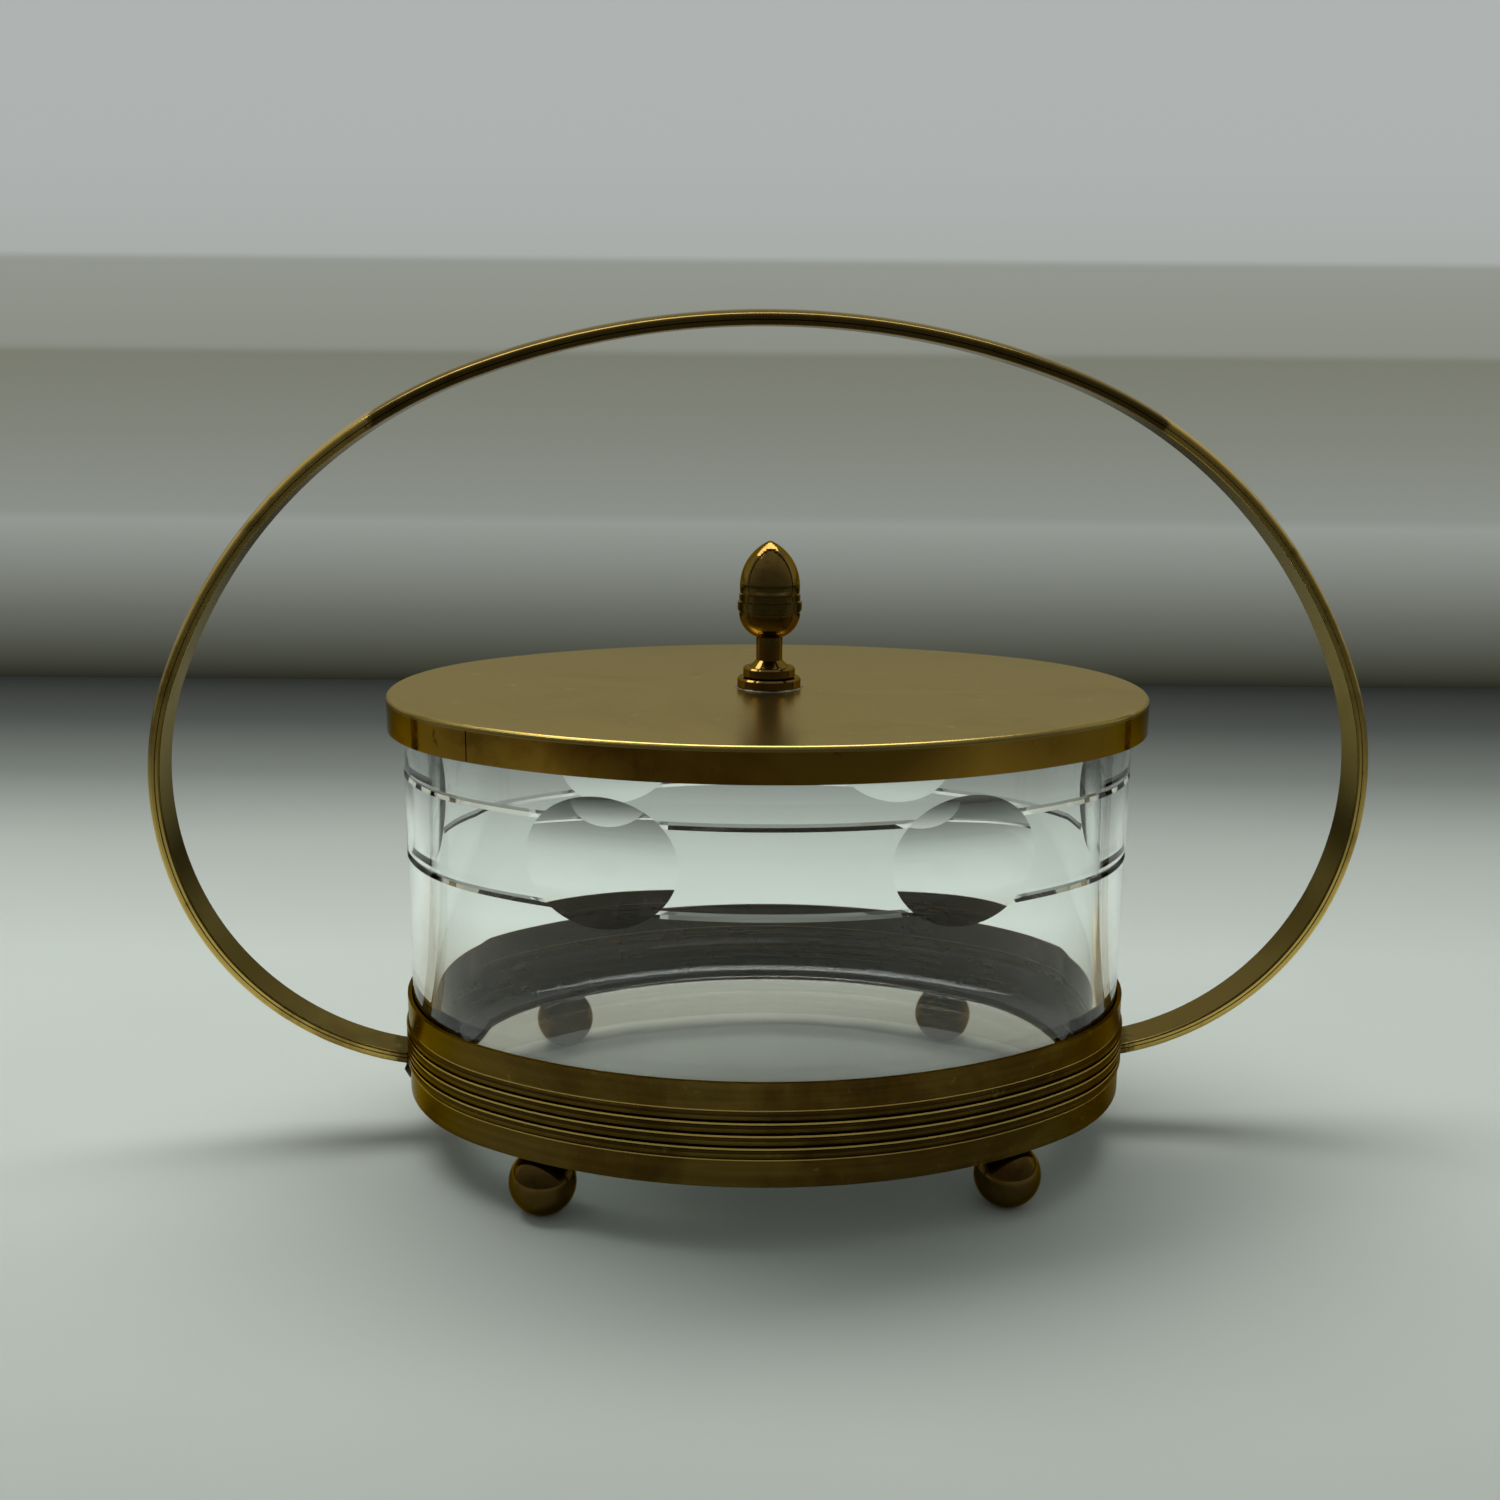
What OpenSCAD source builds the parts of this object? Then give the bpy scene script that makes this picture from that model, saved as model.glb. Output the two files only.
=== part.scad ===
// Oval cut-glass box with a lid, standing in a footed brass holder that a hoop handle arches over.
// Frame: X along the box, +Z up, origin under the middle of the box on the table. Millimetres.

/* [Holder] */
// Length of the holder's band, outside
band_length = 140; // [120:1:180]
// Depth of the holder's band, outside
band_depth = 104; // [88:1:118]
// Height of the band
band_height = 19; // [16:0.5:26]
// Thickness of the band's plain strip
band_wall = 0.8; // [0.6:0.1:1.2]
// Number of reeds rolled into the band
reed_count = 4; // [2:1:5]
// Distance from one reed to the next
reed_pitch = 2.3; // [1.8:0.1:2.6]
// How far a reed stands out of the strip
reed_rise = 0.45; // [0.2:0.05:0.6]
// Width of the thin fillet between two reeds
fillet_width = 0.35; // [0.2:0.05:0.5]
// Width of the ledge that carries the glass
ledge_width = 8; // [6:0.5:11]
// Thickness of the ledge
ledge_thickness = 1; // [0.8:0.1:1.6]

/* [Feet] */
// Diameter of each ball foot
ball_d = 12.2; // [10:0.2:15]
// Diameter of the worn flat under each ball
ball_flat_d = 3; // [2:0.1:4]
// Diameter of the turned seat on top of each ball
ball_seat_d = 3.8; // [3:0.1:5]
// Distance between the left and the right feet
foot_spacing = 84; // [70:1:96]
// How far a ball's centre lies inside the band
foot_inset = 4.3; // [3.5:0.1:6]
// Diameter of the rivet that holds each ball
rivet_d = 2; // [1.6:0.1:2.6]
// Depth of the rivet's hole in the ball
rivet_depth = 5; // [3:0.5:7]

/* [Glass] */
// Height of the glass box
glass_height = 75.5; // [60:0.5:95]
// Thickness of the glass wall
glass_wall = 4.2; // [3:0.1:6]
// Thickness of the glass floor
glass_floor = 5; // [4:0.5:8]
// Radius between wall and floor inside
inner_fillet = 9; // [4:0.5:14]
// Gap between the glass and the band
glass_gap = 0.35; // [0.3:0.05:0.8]
// How much wider the glass is at its rim than at its foot, each side
glass_flare = 0.4; // [0:0.1:0.8]
// Width of each cut line round the glass
cut_width = 1.4; // [0.8:0.1:2.5]
// Depth of each cut line
cut_depth = 0.35; // [0.2:0.05:0.8]
// Height of the upper cut line over the foot of the glass
upper_cut = 62.2; // [50:0.5:75]
// Height of the lower cut line over the foot of the glass
lower_cut = 46.8; // [35:0.5:58]
// Diameter of each round cut window
window_d = 23; // [12:0.5:26]
// Depth of each round cut window
window_depth = 1.1; // [0.6:0.1:1.6]
// Distance between the two windows of the front and of the back
window_spacing = 62; // [40:1:70]

/* [Lid] */
// How far the lid's edge stands out past the glass
lid_overhang = 2.75; // [2:0.25:4]
// Thickness of the lid plate
lid_plate_t = 1; // [0.8:0.1:1.4]
// Height of the lid's rim under the plate
lid_rim_height = 5.4; // [4:0.2:9]
// Thickness of the lid's rim
lid_rim_wall = 1; // [0.8:0.1:1.4]
// Radius that the plate's top edge is rounded to
lid_edge = 0.8; // [0.3:0.1:0.8]
// Width of the butt seam in the rim
seam_width = 0.25; // [0.1:0.05:0.5]

/* [Finial] */
// Diameter of the lower step under the finial
foot_disc_d = 12.1; // [11:0.1:14]
// Diameter of the upper step under the finial
collar_d = 9.9; // [8:0.1:10.5]
// Height of each step
step_height = 2; // [1.5:0.1:2.5]
// Diameter of the stem
stem_d = 5; // [4.6:0.1:6]
// Height of the stem with its flared foot
stem_height = 5.6; // [4:0.2:8]
// Diameter of the cup's rim
cup_d = 12.2; // [11:0.1:13]
// Height of the cup from the stem to the top of its rim
cup_height = 6.8; // [6:0.1:8]
// Diameter of the acorn
acorn_d = 11.4; // [10:0.1:12]
// Height of the acorn over the cup
acorn_height = 11.5; // [10:0.1:14]
// Diameter of the screw that holds the finial together
screw_d = 3; // [2.5:0.1:3.5]
// Width of the nut across its flats
nut_af = 5.5; // [5:0.1:7]
// Thickness of the nut
nut_t = 2.4; // [2:0.1:3]
// Diameter of the washer under the nut
washer_d = 8; // [7:0.5:12]
// Thickness of the washer
washer_t = 0.6; // [0.5:0.1:1]

/* [Handle] */
// Width of the hoop's strip
strip_width = 8.5; // [6:0.5:11]
// Thickness of the strip at its edges
strip_edge = 2; // [1.4:0.1:2.6]
// How far the strip's outer face is crowned
strip_crown = 1; // [0.4:0.1:1.2]
// Radius of the hoop over its crown, on a band of 140
crown_bend = 159.5; // [150:0.5:165]
// Radius of the hoop's shoulders
shoulder_radius = 98.5; // [94:0.5:103]
// Radius of the hoop's sides
side_radius = 59.75; // [58:0.25:63]
// Radius of the arcs that turn in under the box
heel_radius = 55.25; // [48:0.25:58]
// Height of the hoop's ends over the foot of the band
hoop_foot_rise = 2.5; // [1:0.5:6]

/* [Hidden] */
$fn = 96;

// The plan is the old 3-4-5 oval: four arcs in line, whose centres make right triangles of sides
// 3, 4 and 5. Every wall, rim and ledge is an offset of it, so they all share the same four centres.
half_length = band_length / 2;
half_depth = band_depth / 2;
stretch = half_length - half_depth;
end_centre = 1.5 * stretch;
flat_centre = 2 * stretch;
end_radius = half_length - end_centre;
flat_radius = half_depth + flat_centre;

// Heights, from the table up.
ball_r = ball_d / 2;
ball_z = sqrt(ball_r ^ 2 - (ball_flat_d / 2) ^ 2);
band_z = ball_z + sqrt(ball_r ^ 2 - (ball_seat_d / 2) ^ 2);
glass_z = band_z + ledge_thickness;
lid_z = glass_z + glass_height;
finial_z = lid_z + lid_plate_t;
cup_z = finial_z + 2 * step_height;
acorn_z = cup_z + stem_height + cup_height;

// Offsets from the band's outline, outwards.
glass_out = -band_wall - glass_gap;
lid_out = glass_out + glass_flare + lid_overhang;
crest = reed_rise;
crease = 0.1; // flat between a reed and the fillet beside it
ridge_out = reed_rise * 0.9; // how far the fillets stand out

// Each ball stands on the flat arc, foot_inset inside it.
foot_x = foot_spacing / 2;
foot_y = sqrt((flat_radius - foot_inset) ^ 2 - foot_x ^ 2) - flat_centre;
head_d = rivet_d + 1.4;
head_h = ledge_thickness * 0.8;

// The grooves and windows cut into the glass.
window_z = (upper_cut + lower_cut) / 2;
wheel_radius = (window_d / 2) ^ 2 / (2 * window_depth);

// The seam of the lid's rim stands on the left end arc, towards the front.
seam_angle = 54;

// The hoop is a chain of arcs in line, from its crown down to where it meets the band. Each arc ends
// on a line of whole-number slope, [across, up], so that the next one starts exactly there. A longer
// band opens the crown by crown_growth a millimetre, so that the hoop keeps its reach past the band.
usual_length = 140;
crown_growth = 1.5;
crown_radius = crown_bend + (band_length - usual_length) * crown_growth;
hoop_radii = [crown_radius, shoulder_radius, side_radius, heel_radius];
hoop_turns = [[0, 1], [0.352, 0.936], [0.936, 0.352], [0.936, -0.352], [0, -1]];
function hoop_centre(i) = i == 0 ? [0, -crown_radius]
    : hoop_centre(i - 1) + (hoop_radii[i - 1] - hoop_radii[i]) * hoop_turns[i];
hoop_end_x = half_length + crest;
heel_centre = hoop_centre(3);
heel_drop = heel_centre[1] - sqrt(heel_radius ^ 2 - (hoop_end_x - heel_centre[0]) ^ 2);
hoop_top = band_z + hoop_foot_rise - heel_drop;

foot_edge = 0.6; // bevel round the foot of the glass
rim_edge = 0.4; // bevels round its rim
screw_reach = 7; // how far the finial's screw goes into the acorn
screw_end = 0.8; // how far it shows under the nut
past = 1; // how far a cutter runs past what it cuts

// Turns a profile about the centres of the oval's two ends, and keeps the arc that belongs to each.
module end_arcs(height) {
    far = 40;
    for (turn = [0, 180]) rotate([0, 0, turn]) intersection() {
        translate([end_centre, 0, 0]) rotate_extrude() children();
        translate([0, 0, -past]) linear_extrude(height + 2 * past) polygon([[end_centre, 0],
            [end_centre + 3 * far, -4 * far], [end_centre + 3 * far, 4 * far]]);
    }
}

// The same about the centres of its two flatter sides.
module flat_arcs(height) {
    far = 40;
    for (turn = [0, 180]) rotate([0, 0, turn]) intersection() {
        translate([0, -flat_centre, 0]) rotate_extrude() children();
        translate([0, 0, -past]) linear_extrude(height + 2 * past) polygon([[0, -flat_centre],
            [3 * far, 4 * far - flat_centre], [-3 * far, 4 * far - flat_centre]]);
    }
}

// Sweeps a profile round the oval. The profile's X is the offset from the band's outline.
module along_oval(height) {
    end_arcs(height) translate([end_radius, 0]) children();
    flat_arcs(height) translate([flat_radius, 0]) children();
}

// Points along a quarter round, centred at c, from angle a0 on, anticlockwise or clockwise.
function quarter(c, r, a0, steps, way = 1) = [for (i = [0 : steps])
    let (a = a0 + way * 90 * i / steps) c + r * [cos(a), sin(a)]];

// One reed's outline, from its foot up: a shallow round rib, then the thin fillet over it.
function reed(z, last) = let (
        half_width = (reed_pitch - fillet_width) / 2 - crease,
        bow = (half_width ^ 2 + reed_rise ^ 2) / (2 * reed_rise),
        spread = asin(half_width / bow),
        ridge_z = z + (reed_pitch - fillet_width) / 2)
    concat([for (i = [-4 : 4]) let (a = spread * i / 4)
            [reed_rise - bow + bow * cos(a), z + bow * sin(a)]],
        last ? [] : [[0, ridge_z], [ridge_out, ridge_z],
            [ridge_out, ridge_z + fillet_width], [0, ridge_z + fillet_width]]);

function reeds() = [for (i = [0 : reed_count - 1])
    each reed(band_height / 2 + (i - (reed_count - 1) / 2) * reed_pitch, i == reed_count - 1)];

// The band is one rolled strip, so its inner face is its outer face moved in by the wall.
module gallery_band() {
    outer = concat([[0, 0]], reeds(), [[0, band_height]]);
    inner = [for (i = [len(outer) - 1 : -1 : 0]) outer[i] - [band_wall, 0]];
    color([0.42, 0.34, 0.18]) translate([0, 0, band_z]) along_oval(band_height)
        polygon(concat(outer, inner));
}

module gallery_ledge() {
    color([0.36, 0.30, 0.17]) translate([0, 0, band_z]) difference() {
        along_oval(ledge_thickness) translate([-band_wall - ledge_width, 0])
            square([ledge_width, ledge_thickness]);
        at_feet() {
            translate([0, 0, -past]) cylinder(d = rivet_d, h = ledge_thickness + 2 * past);
            translate([0, 0, ledge_thickness - head_h])
                cylinder(d1 = rivet_d, d2 = head_d, h = head_h);
        }
    }
}

module at_feet() {
    for (side = [-1, 1], face = [-1, 1]) translate([side * foot_x, face * foot_y, 0]) children();
}

module ball_foot(side, face) {
    color([0.30, 0.24, 0.14]) translate([side * foot_x, face * foot_y, 0]) difference() {
        intersection() {
            translate([0, 0, ball_z]) sphere(d = ball_d);
            cylinder(d = 2 * ball_d, h = band_z);
        }
        translate([0, 0, band_z - rivet_depth]) cylinder(d = rivet_d, h = rivet_depth + past);
    }
}

module foot_front_left() ball_foot(-1, -1);
module foot_front_right() ball_foot(1, -1);
module foot_back_left() ball_foot(-1, 1);
module foot_back_right() ball_foot(1, 1);

module foot_rivets() {
    color([0.50, 0.42, 0.25]) translate([0, 0, band_z]) at_feet() {
        translate([0, 0, -rivet_depth]) cylinder(d = rivet_d, h = rivet_depth + ledge_thickness);
        translate([0, 0, ledge_thickness - head_h]) cylinder(d1 = rivet_d, d2 = head_d, h = head_h);
    }
}

// The strip's section: flat inside, crowned outside. X = 0 is the highest line of its outer face.
module strip_section() {
    bow = ((strip_width / 2) ^ 2 + strip_crown ^ 2) / (2 * strip_crown);
    spread = asin(strip_width / 2 / bow);
    inside = -strip_edge - strip_crown;
    polygon(concat([[inside, -strip_width / 2]],
        [for (i = [-5 : 5]) [bow * cos(spread * i / 5) - bow, bow * sin(spread * i / 5)]],
        [[inside, strip_width / 2]]));
}

module hoop_arc(i) {
    centre = hoop_centre(i);
    far = 250;
    translate([0, 0, hoop_top]) rotate([90, 0, 0]) intersection() {
        translate([centre[0], centre[1], 0]) rotate_extrude()
            translate([hoop_radii[i], 0]) strip_section();
        translate([0, 0, -strip_width]) linear_extrude(2 * strip_width)
            polygon([centre, centre + far * hoop_turns[i + 1], centre + far * hoop_turns[i]]);
    }
}

// What lies inside the band's end, up to its top, for hollowing the pieces soldered against it.
module band_end(side, out) {
    translate([side * end_centre, 0, 0]) cylinder(r = end_radius + out, h = band_z + band_height);
}

module handle_hoop() {
    color([0.62, 0.50, 0.26]) difference() {
        for (turn = [0, 180]) rotate([0, 0, turn])
            for (i = [0 : 3]) hoop_arc(i);
        for (side = [-1, 1]) band_end(side, crest);
    }
}

// Soft solder run in under each end of the hoop, against the band.
module handle_solder() {
    low_edge = 0.4; // the solder stops this far over the foot of the band
    lap = 0.6; // how far it runs out under the hoop
    solder_h = hoop_foot_rise - low_edge - 0.2;
    color([0.20, 0.18, 0.14]) for (side = [-1, 1])
        translate([0, strip_width / 2, band_z + low_edge]) rotate([90, 0, 0])
            linear_extrude(strip_width) polygon([[side * half_length, 0],
                [side * (hoop_end_x + lap), solder_h], [side * half_length, solder_h]]);
}

// One shallow window: a wheel with a level axis, ground into the wall at its own height.
module window_cut(radius) {
    translate([radius + wheel_radius - window_depth, 0, window_z]) rotate([90, 0, 0])
        cylinder(r = wheel_radius, h = 2 * window_d, center = true);
}

// A cut line is a shallow V in the outside of the wall.
function cut_line(radius, height) = [[radius, height - cut_width / 2],
    [radius - cut_depth, height], [radius, height + cut_width / 2]];

// The glass in section, from its middle out: foot, cut lines, rim, inner wall, round run and floor.
module glass_section(radius) {
    rim = radius + glass_flare;
    inside = radius - glass_wall;
    run = quarter([inside - inner_fillet, glass_floor + inner_fillet], inner_fillet, 0, 8, -1);
    polygon(concat([[0, 0], [radius - foot_edge, 0], [radius, foot_edge]],
        cut_line(radius + glass_flare * lower_cut / glass_height, lower_cut),
        cut_line(radius + glass_flare * upper_cut / glass_height, upper_cut),
        [[rim, glass_height - rim_edge], [rim - rim_edge, glass_height],
            [inside + rim_edge, glass_height], [inside, glass_height - rim_edge]],
        run, [[0, glass_floor]]));
}

module glass_box() {
    mean_out = glass_out + glass_flare * window_z / glass_height;
    window_angle = asin(window_spacing / 2 / (flat_radius + mean_out));
    color([0.80, 0.88, 0.86, 0.5]) translate([0, 0, glass_z]) difference() {
        union() {
            end_arcs(glass_height) glass_section(end_radius + glass_out);
            flat_arcs(glass_height) glass_section(flat_radius + glass_out);
        }
        for (turn = [0, 180]) rotate([0, 0, turn]) {
            translate([end_centre, 0, 0]) window_cut(end_radius + mean_out);
            for (side = [-1, 1]) translate([0, -flat_centre, 0])
                rotate([0, 0, 90 + side * window_angle]) window_cut(flat_radius + mean_out);
        }
    }
}

module plate_section(radius) {
    edge = quarter([radius - lid_edge, lid_plate_t - lid_edge], lid_edge, 0, 5);
    polygon(concat([[0, 0], [radius, 0]], edge, [[0, lid_plate_t]]));
}

module lid_plate() {
    color([0.50, 0.44, 0.29]) translate([0, 0, lid_z]) difference() {
        union() {
            end_arcs(lid_plate_t) plate_section(end_radius + lid_out);
            flat_arcs(lid_plate_t) plate_section(flat_radius + lid_out);
        }
        screw_hole(lid_plate_t);
    }
}

module screw_hole(height) {
    translate([0, 0, -past]) cylinder(d = screw_d, h = height + 2 * past);
}

module lid_rim() {
    color([0.55, 0.43, 0.20]) translate([0, 0, lid_z - lid_rim_height]) difference() {
        along_oval(lid_rim_height) translate([lid_out - lid_rim_wall, 0])
            square([lid_rim_wall, lid_rim_height]);
        translate([-end_centre, 0, 0]) rotate([0, 0, 180 + seam_angle])
            translate([end_radius, -seam_width / 2, -past])
                cube([2 * lid_overhang, seam_width, lid_rim_height + 2 * past]);
    }
}

// A turned ring with its two outer edges broken.
module turned_ring(d, height) {
    edge = 0.3;
    rotate_extrude() polygon([[screw_d / 2, 0], [d / 2 - edge, 0], [d / 2, edge],
        [d / 2, height - edge], [d / 2 - edge, height], [screw_d / 2, height]]);
}

module finial_step() {
    color([0.45, 0.35, 0.17]) translate([0, 0, finial_z]) turned_ring(foot_disc_d, step_height);
}

module finial_collar() {
    color([0.45, 0.35, 0.17]) translate([0, 0, finial_z + step_height])
        turned_ring(collar_d, step_height);
}

// A stem with a flared foot, and a round cup with a straight rim and one fine line under it.
module finial_cup() {
    rim_h = 1.4;
    line = 0.3;
    bell_h = cup_height - rim_h - 2 * line;
    bell = (bell_h ^ 2 + (cup_d / 2 - stem_d / 2) ^ 2) / (2 * (cup_d / 2 - stem_d / 2));
    flare = 1.3;
    color([0.45, 0.35, 0.17]) translate([0, 0, cup_z]) difference() {
        union() {
            cylinder(d1 = stem_d + 2 * flare, d2 = stem_d, h = flare);
            cylinder(d = stem_d, h = stem_height + past);
            translate([0, 0, stem_height]) rotate_extrude() intersection() {
                translate([cup_d / 2 - line - bell, bell_h]) circle(bell);
                square([cup_d, bell_h]);
            }
            translate([0, 0, stem_height + bell_h]) cylinder(d = cup_d - 4 * line, h = line);
            translate([0, 0, stem_height + bell_h + line]) cylinder(d = cup_d - line, h = line);
            translate([0, 0, stem_height + cup_height - rim_h]) cylinder(d = cup_d, h = rim_h);
        }
        screw_hole(stem_height + cup_height);
    }
}

// A pointed oval nut on a bead, tapped from below.
module finial_acorn() {
    bead_h = 1.1;
    neck = 0.3;
    neck_d = acorn_d - 1;
    low = 1.2;
    tip = 0.3;
    tall = acorn_height - 2 * neck - bead_h - low;
    bow = ((acorn_d / 2) ^ 2 + tall ^ 2) / acorn_d;
    a0 = -asin(low / bow);
    a1 = acos((bow - acorn_d / 2 + tip) / bow);
    steps = 20;
    color([0.48, 0.38, 0.18]) translate([0, 0, acorn_z]) difference() {
        union() {
            cylinder(d = neck_d, h = 2 * neck + bead_h);
            translate([0, 0, neck]) cylinder(d = acorn_d + 0.2, h = bead_h);
            translate([0, 0, 2 * neck + bead_h]) rotate_extrude()
                polygon(concat([[0, 0]], [for (i = [0 : steps]) acorn_d / 2 * [1, 0] + [-bow, low]
                    + bow * [cos(a0 + (a1 - a0) * i / steps), sin(a0 + (a1 - a0) * i / steps)]],
                    [[0, tall + low - 0.05]]));
        }
        translate([0, 0, -past]) cylinder(d = screw_d, h = screw_reach + past);
    }
}

module finial_screw() {
    bottom = lid_z - washer_t - nut_t - screw_end;
    color([0.52, 0.44, 0.26]) translate([0, 0, bottom])
        cylinder(d = screw_d, h = acorn_z + screw_reach - bottom);
}

module finial_washer() {
    color([0.52, 0.44, 0.26]) translate([0, 0, lid_z - washer_t]) difference() {
        cylinder(d = washer_d, h = washer_t);
        screw_hole(washer_t);
    }
}

module finial_nut() {
    color([0.52, 0.44, 0.26]) translate([0, 0, lid_z - washer_t - nut_t]) difference() {
        cylinder(d = nut_af / cos(30), h = nut_t, $fn = 6);
        screw_hole(nut_t);
    }
}

module finial_solder() {
    fillet = 0.7;
    color([0.45, 0.43, 0.38]) translate([0, 0, finial_z]) rotate_extrude()
        polygon([[foot_disc_d / 2, 0.3], [foot_disc_d / 2, fillet], [foot_disc_d / 2 + fillet, 0.1],
            [foot_disc_d / 2 + fillet, 0], [foot_disc_d / 2 - 0.3, 0]]);
}

gallery_band();
gallery_ledge();
foot_front_left();
foot_front_right();
foot_back_left();
foot_back_right();
foot_rivets();
handle_hoop();
handle_solder();
glass_box();
lid_plate();
lid_rim();
finial_step();
finial_collar();
finial_cup();
finial_acorn();
finial_screw();
finial_washer();
finial_nut();
finial_solder();
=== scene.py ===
"""Looks for an oval glass box with a brass lid, in a footed brass holder with a hoop handle.

X runs along the box and +Z up, from an origin on the table under the middle of the box. Settings
and finishes are in metres, and shapes are worked out in millimetres. The oval is drawn with four
arcs, so an outline moved in or out is the same oval with other radii.
"""
import math

import bpy
import numpy as np
from mathutils import Matrix, Vector
from mathutils.geometry import delaunay_2d_cdt


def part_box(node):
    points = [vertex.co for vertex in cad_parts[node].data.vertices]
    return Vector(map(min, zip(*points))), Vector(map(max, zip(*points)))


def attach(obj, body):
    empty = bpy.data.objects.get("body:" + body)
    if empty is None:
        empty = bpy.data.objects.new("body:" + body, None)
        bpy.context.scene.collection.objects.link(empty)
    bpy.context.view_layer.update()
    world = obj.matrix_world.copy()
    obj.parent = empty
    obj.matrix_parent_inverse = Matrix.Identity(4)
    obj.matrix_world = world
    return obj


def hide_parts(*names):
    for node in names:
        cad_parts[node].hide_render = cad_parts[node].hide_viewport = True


bl_info = {
    "name": "Oval glass box in a brass holder",
    "version": (1, 0, 0),
    "blender": (4, 5, 0),
    "location": "View3D > Sidebar > Glass box",
    "description": "Makes a lidded glass box in a hoop-handled brass holder, with its finishes",
    "category": "Object",
}

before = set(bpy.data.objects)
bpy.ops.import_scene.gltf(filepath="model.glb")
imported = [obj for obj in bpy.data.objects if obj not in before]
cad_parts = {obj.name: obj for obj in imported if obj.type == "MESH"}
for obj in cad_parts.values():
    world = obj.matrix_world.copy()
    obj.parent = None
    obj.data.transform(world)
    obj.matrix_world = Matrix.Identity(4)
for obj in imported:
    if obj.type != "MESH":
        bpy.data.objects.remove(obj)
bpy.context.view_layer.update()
BAND_LOW, BAND_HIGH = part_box("gallery_band")
GLASS_LOW, GLASS_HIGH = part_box("glass_box")
HOOP_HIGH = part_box("handle_hoop")[1]
REEDS, REED_PITCH = 4, 0.0023
EDGE_TINT = (0.92, 0.83, 0.60)  # brass seen at a shallow angle
OLD_EDGE_TINT = (0.70, 0.55, 0.30)  # the same under old tarnish


# ---- sizes and colours -------------------------------------------------------------------------

def shade(name, text, colour):
    """A colour that the sidebar can change."""
    return bpy.props.FloatVectorProperty(name=name, description=text, default=colour, size=3,
                                         subtype="COLOR", min=0, max=1)


def length(name, text, metres):
    """A length that the sidebar can change."""
    return bpy.props.FloatProperty(name=name, description=text, default=metres, unit="LENGTH")


def number(name, text, value, low=0.0, high=10.0):
    """A plain number that the sidebar can change."""
    return bpy.props.FloatProperty(name=name, description=text, default=value, min=low, max=high)


class BrassSettings(bpy.types.PropertyGroup):
    """Colours of the brass in its states, from rubbed bright to dark tarnish."""
    # bright also paints the highlight on the band's fillets.
    bright: shade("Bright", "Rubbed brass on edges and crowns", (0.58, 0.40, 0.11))
    satin: shade("Satin", "Brass of the lid's top", (0.40, 0.29, 0.085))
    polished: shade("Polished", "Brass of the lid's rim", (0.46, 0.25, 0.035))
    turned: shade("Turned", "Brass of the finial", (0.22, 0.14, 0.038))
    olive: shade("Olive tarnish", "Brown olive tarnish of the band", (0.085, 0.042, 0.007))
    # grey_green also paints the shade on the hoop's inner face.
    grey_green: shade("Grey-green bloom", "Thin bloom that lies on the tarnish",
                      (0.115, 0.08, 0.022))
    # dark also paints the shade in the band's creases.
    dark: shade("Dark tarnish", "Tarnish in creases and under the band", (0.035, 0.02, 0.006))
    hoop: shade("Hoop", "Brass of the hoop's domed face", (0.27, 0.165, 0.032))
    ball: shade("Ball feet", "Dark brass of the feet", (0.11, 0.066, 0.017))
    solder: shade("Solder", "Soft solder at the finial", (0.30, 0.285, 0.24))
    old_solder: shade("Old solder", "Soft solder at the hoop's ends", (0.12, 0.105, 0.075))


class HoopSettings(bpy.types.PropertyGroup):
    """The hoop handle."""
    width: length("Width", "Width of the strip", 0.0085)
    thickness: length("Thickness", "Thickness of the strip at its middle", 0.003)
    crown: length("Crown", "How far the outer face is bowed", 0.001)
    bead: length("Edge round", "Radius of the strip's outer edges", 0.0008)
    crown_radius: length("Top radius", "Radius of the hoop over its top", 0.1595)
    shoulder: length("Shoulder radius", "Radius of the hoop's shoulders", 0.0985)
    side: length("Side radius", "Radius of the hoop's sides", 0.05975)
    heel: length("Heel radius", "Radius where the hoop turns in to the band", 0.05525)


class GlassSettings(bpy.types.PropertyGroup):
    """The cut glass."""
    tint: shade("Tint", "Colour of the glass", (0.965, 0.985, 0.975))
    smear: number("Smears", "How rough the faint smears make the glass", 0.035, 0, 0.3)
    ripple: length("Ripple", "Height of the slow waves in the moulded wall", 0.00004)
    height: length("Height", "Height of the glass", 0.0755)
    wall: length("Wall", "Thickness of the wall at its foot", 0.0042)
    floor: length("Floor", "Thickness of the floor", 0.005)
    flare: length("Flare", "How far the wall leans out over its height", 0.0004)
    inner_fillet: length("Inner round", "Radius where the inside meets the floor", 0.009)
    foot_edge: length("Foot bevel", "Bevel round the foot", 0.0006)
    rim_edge: length("Rim bevel", "Bevel round the rim", 0.0004)
    upper_cut: length("Upper line", "Height of the upper cut line over the foot", 0.0622)
    lower_cut: length("Lower line", "Height of the lower cut line over the foot", 0.0468)
    cut_width: length("Line width", "Width of a cut line", 0.0014)
    cut_depth: length("Line depth", "Depth of a cut line", 0.00035)
    window: length("Window height", "Height of a ground window", 0.023)
    window_depth: length("Window depth", "Depth of a ground window", 0.0011)
    window_spacing: length("Window spacing", "Distance between the windows of a side", 0.062)


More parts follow.
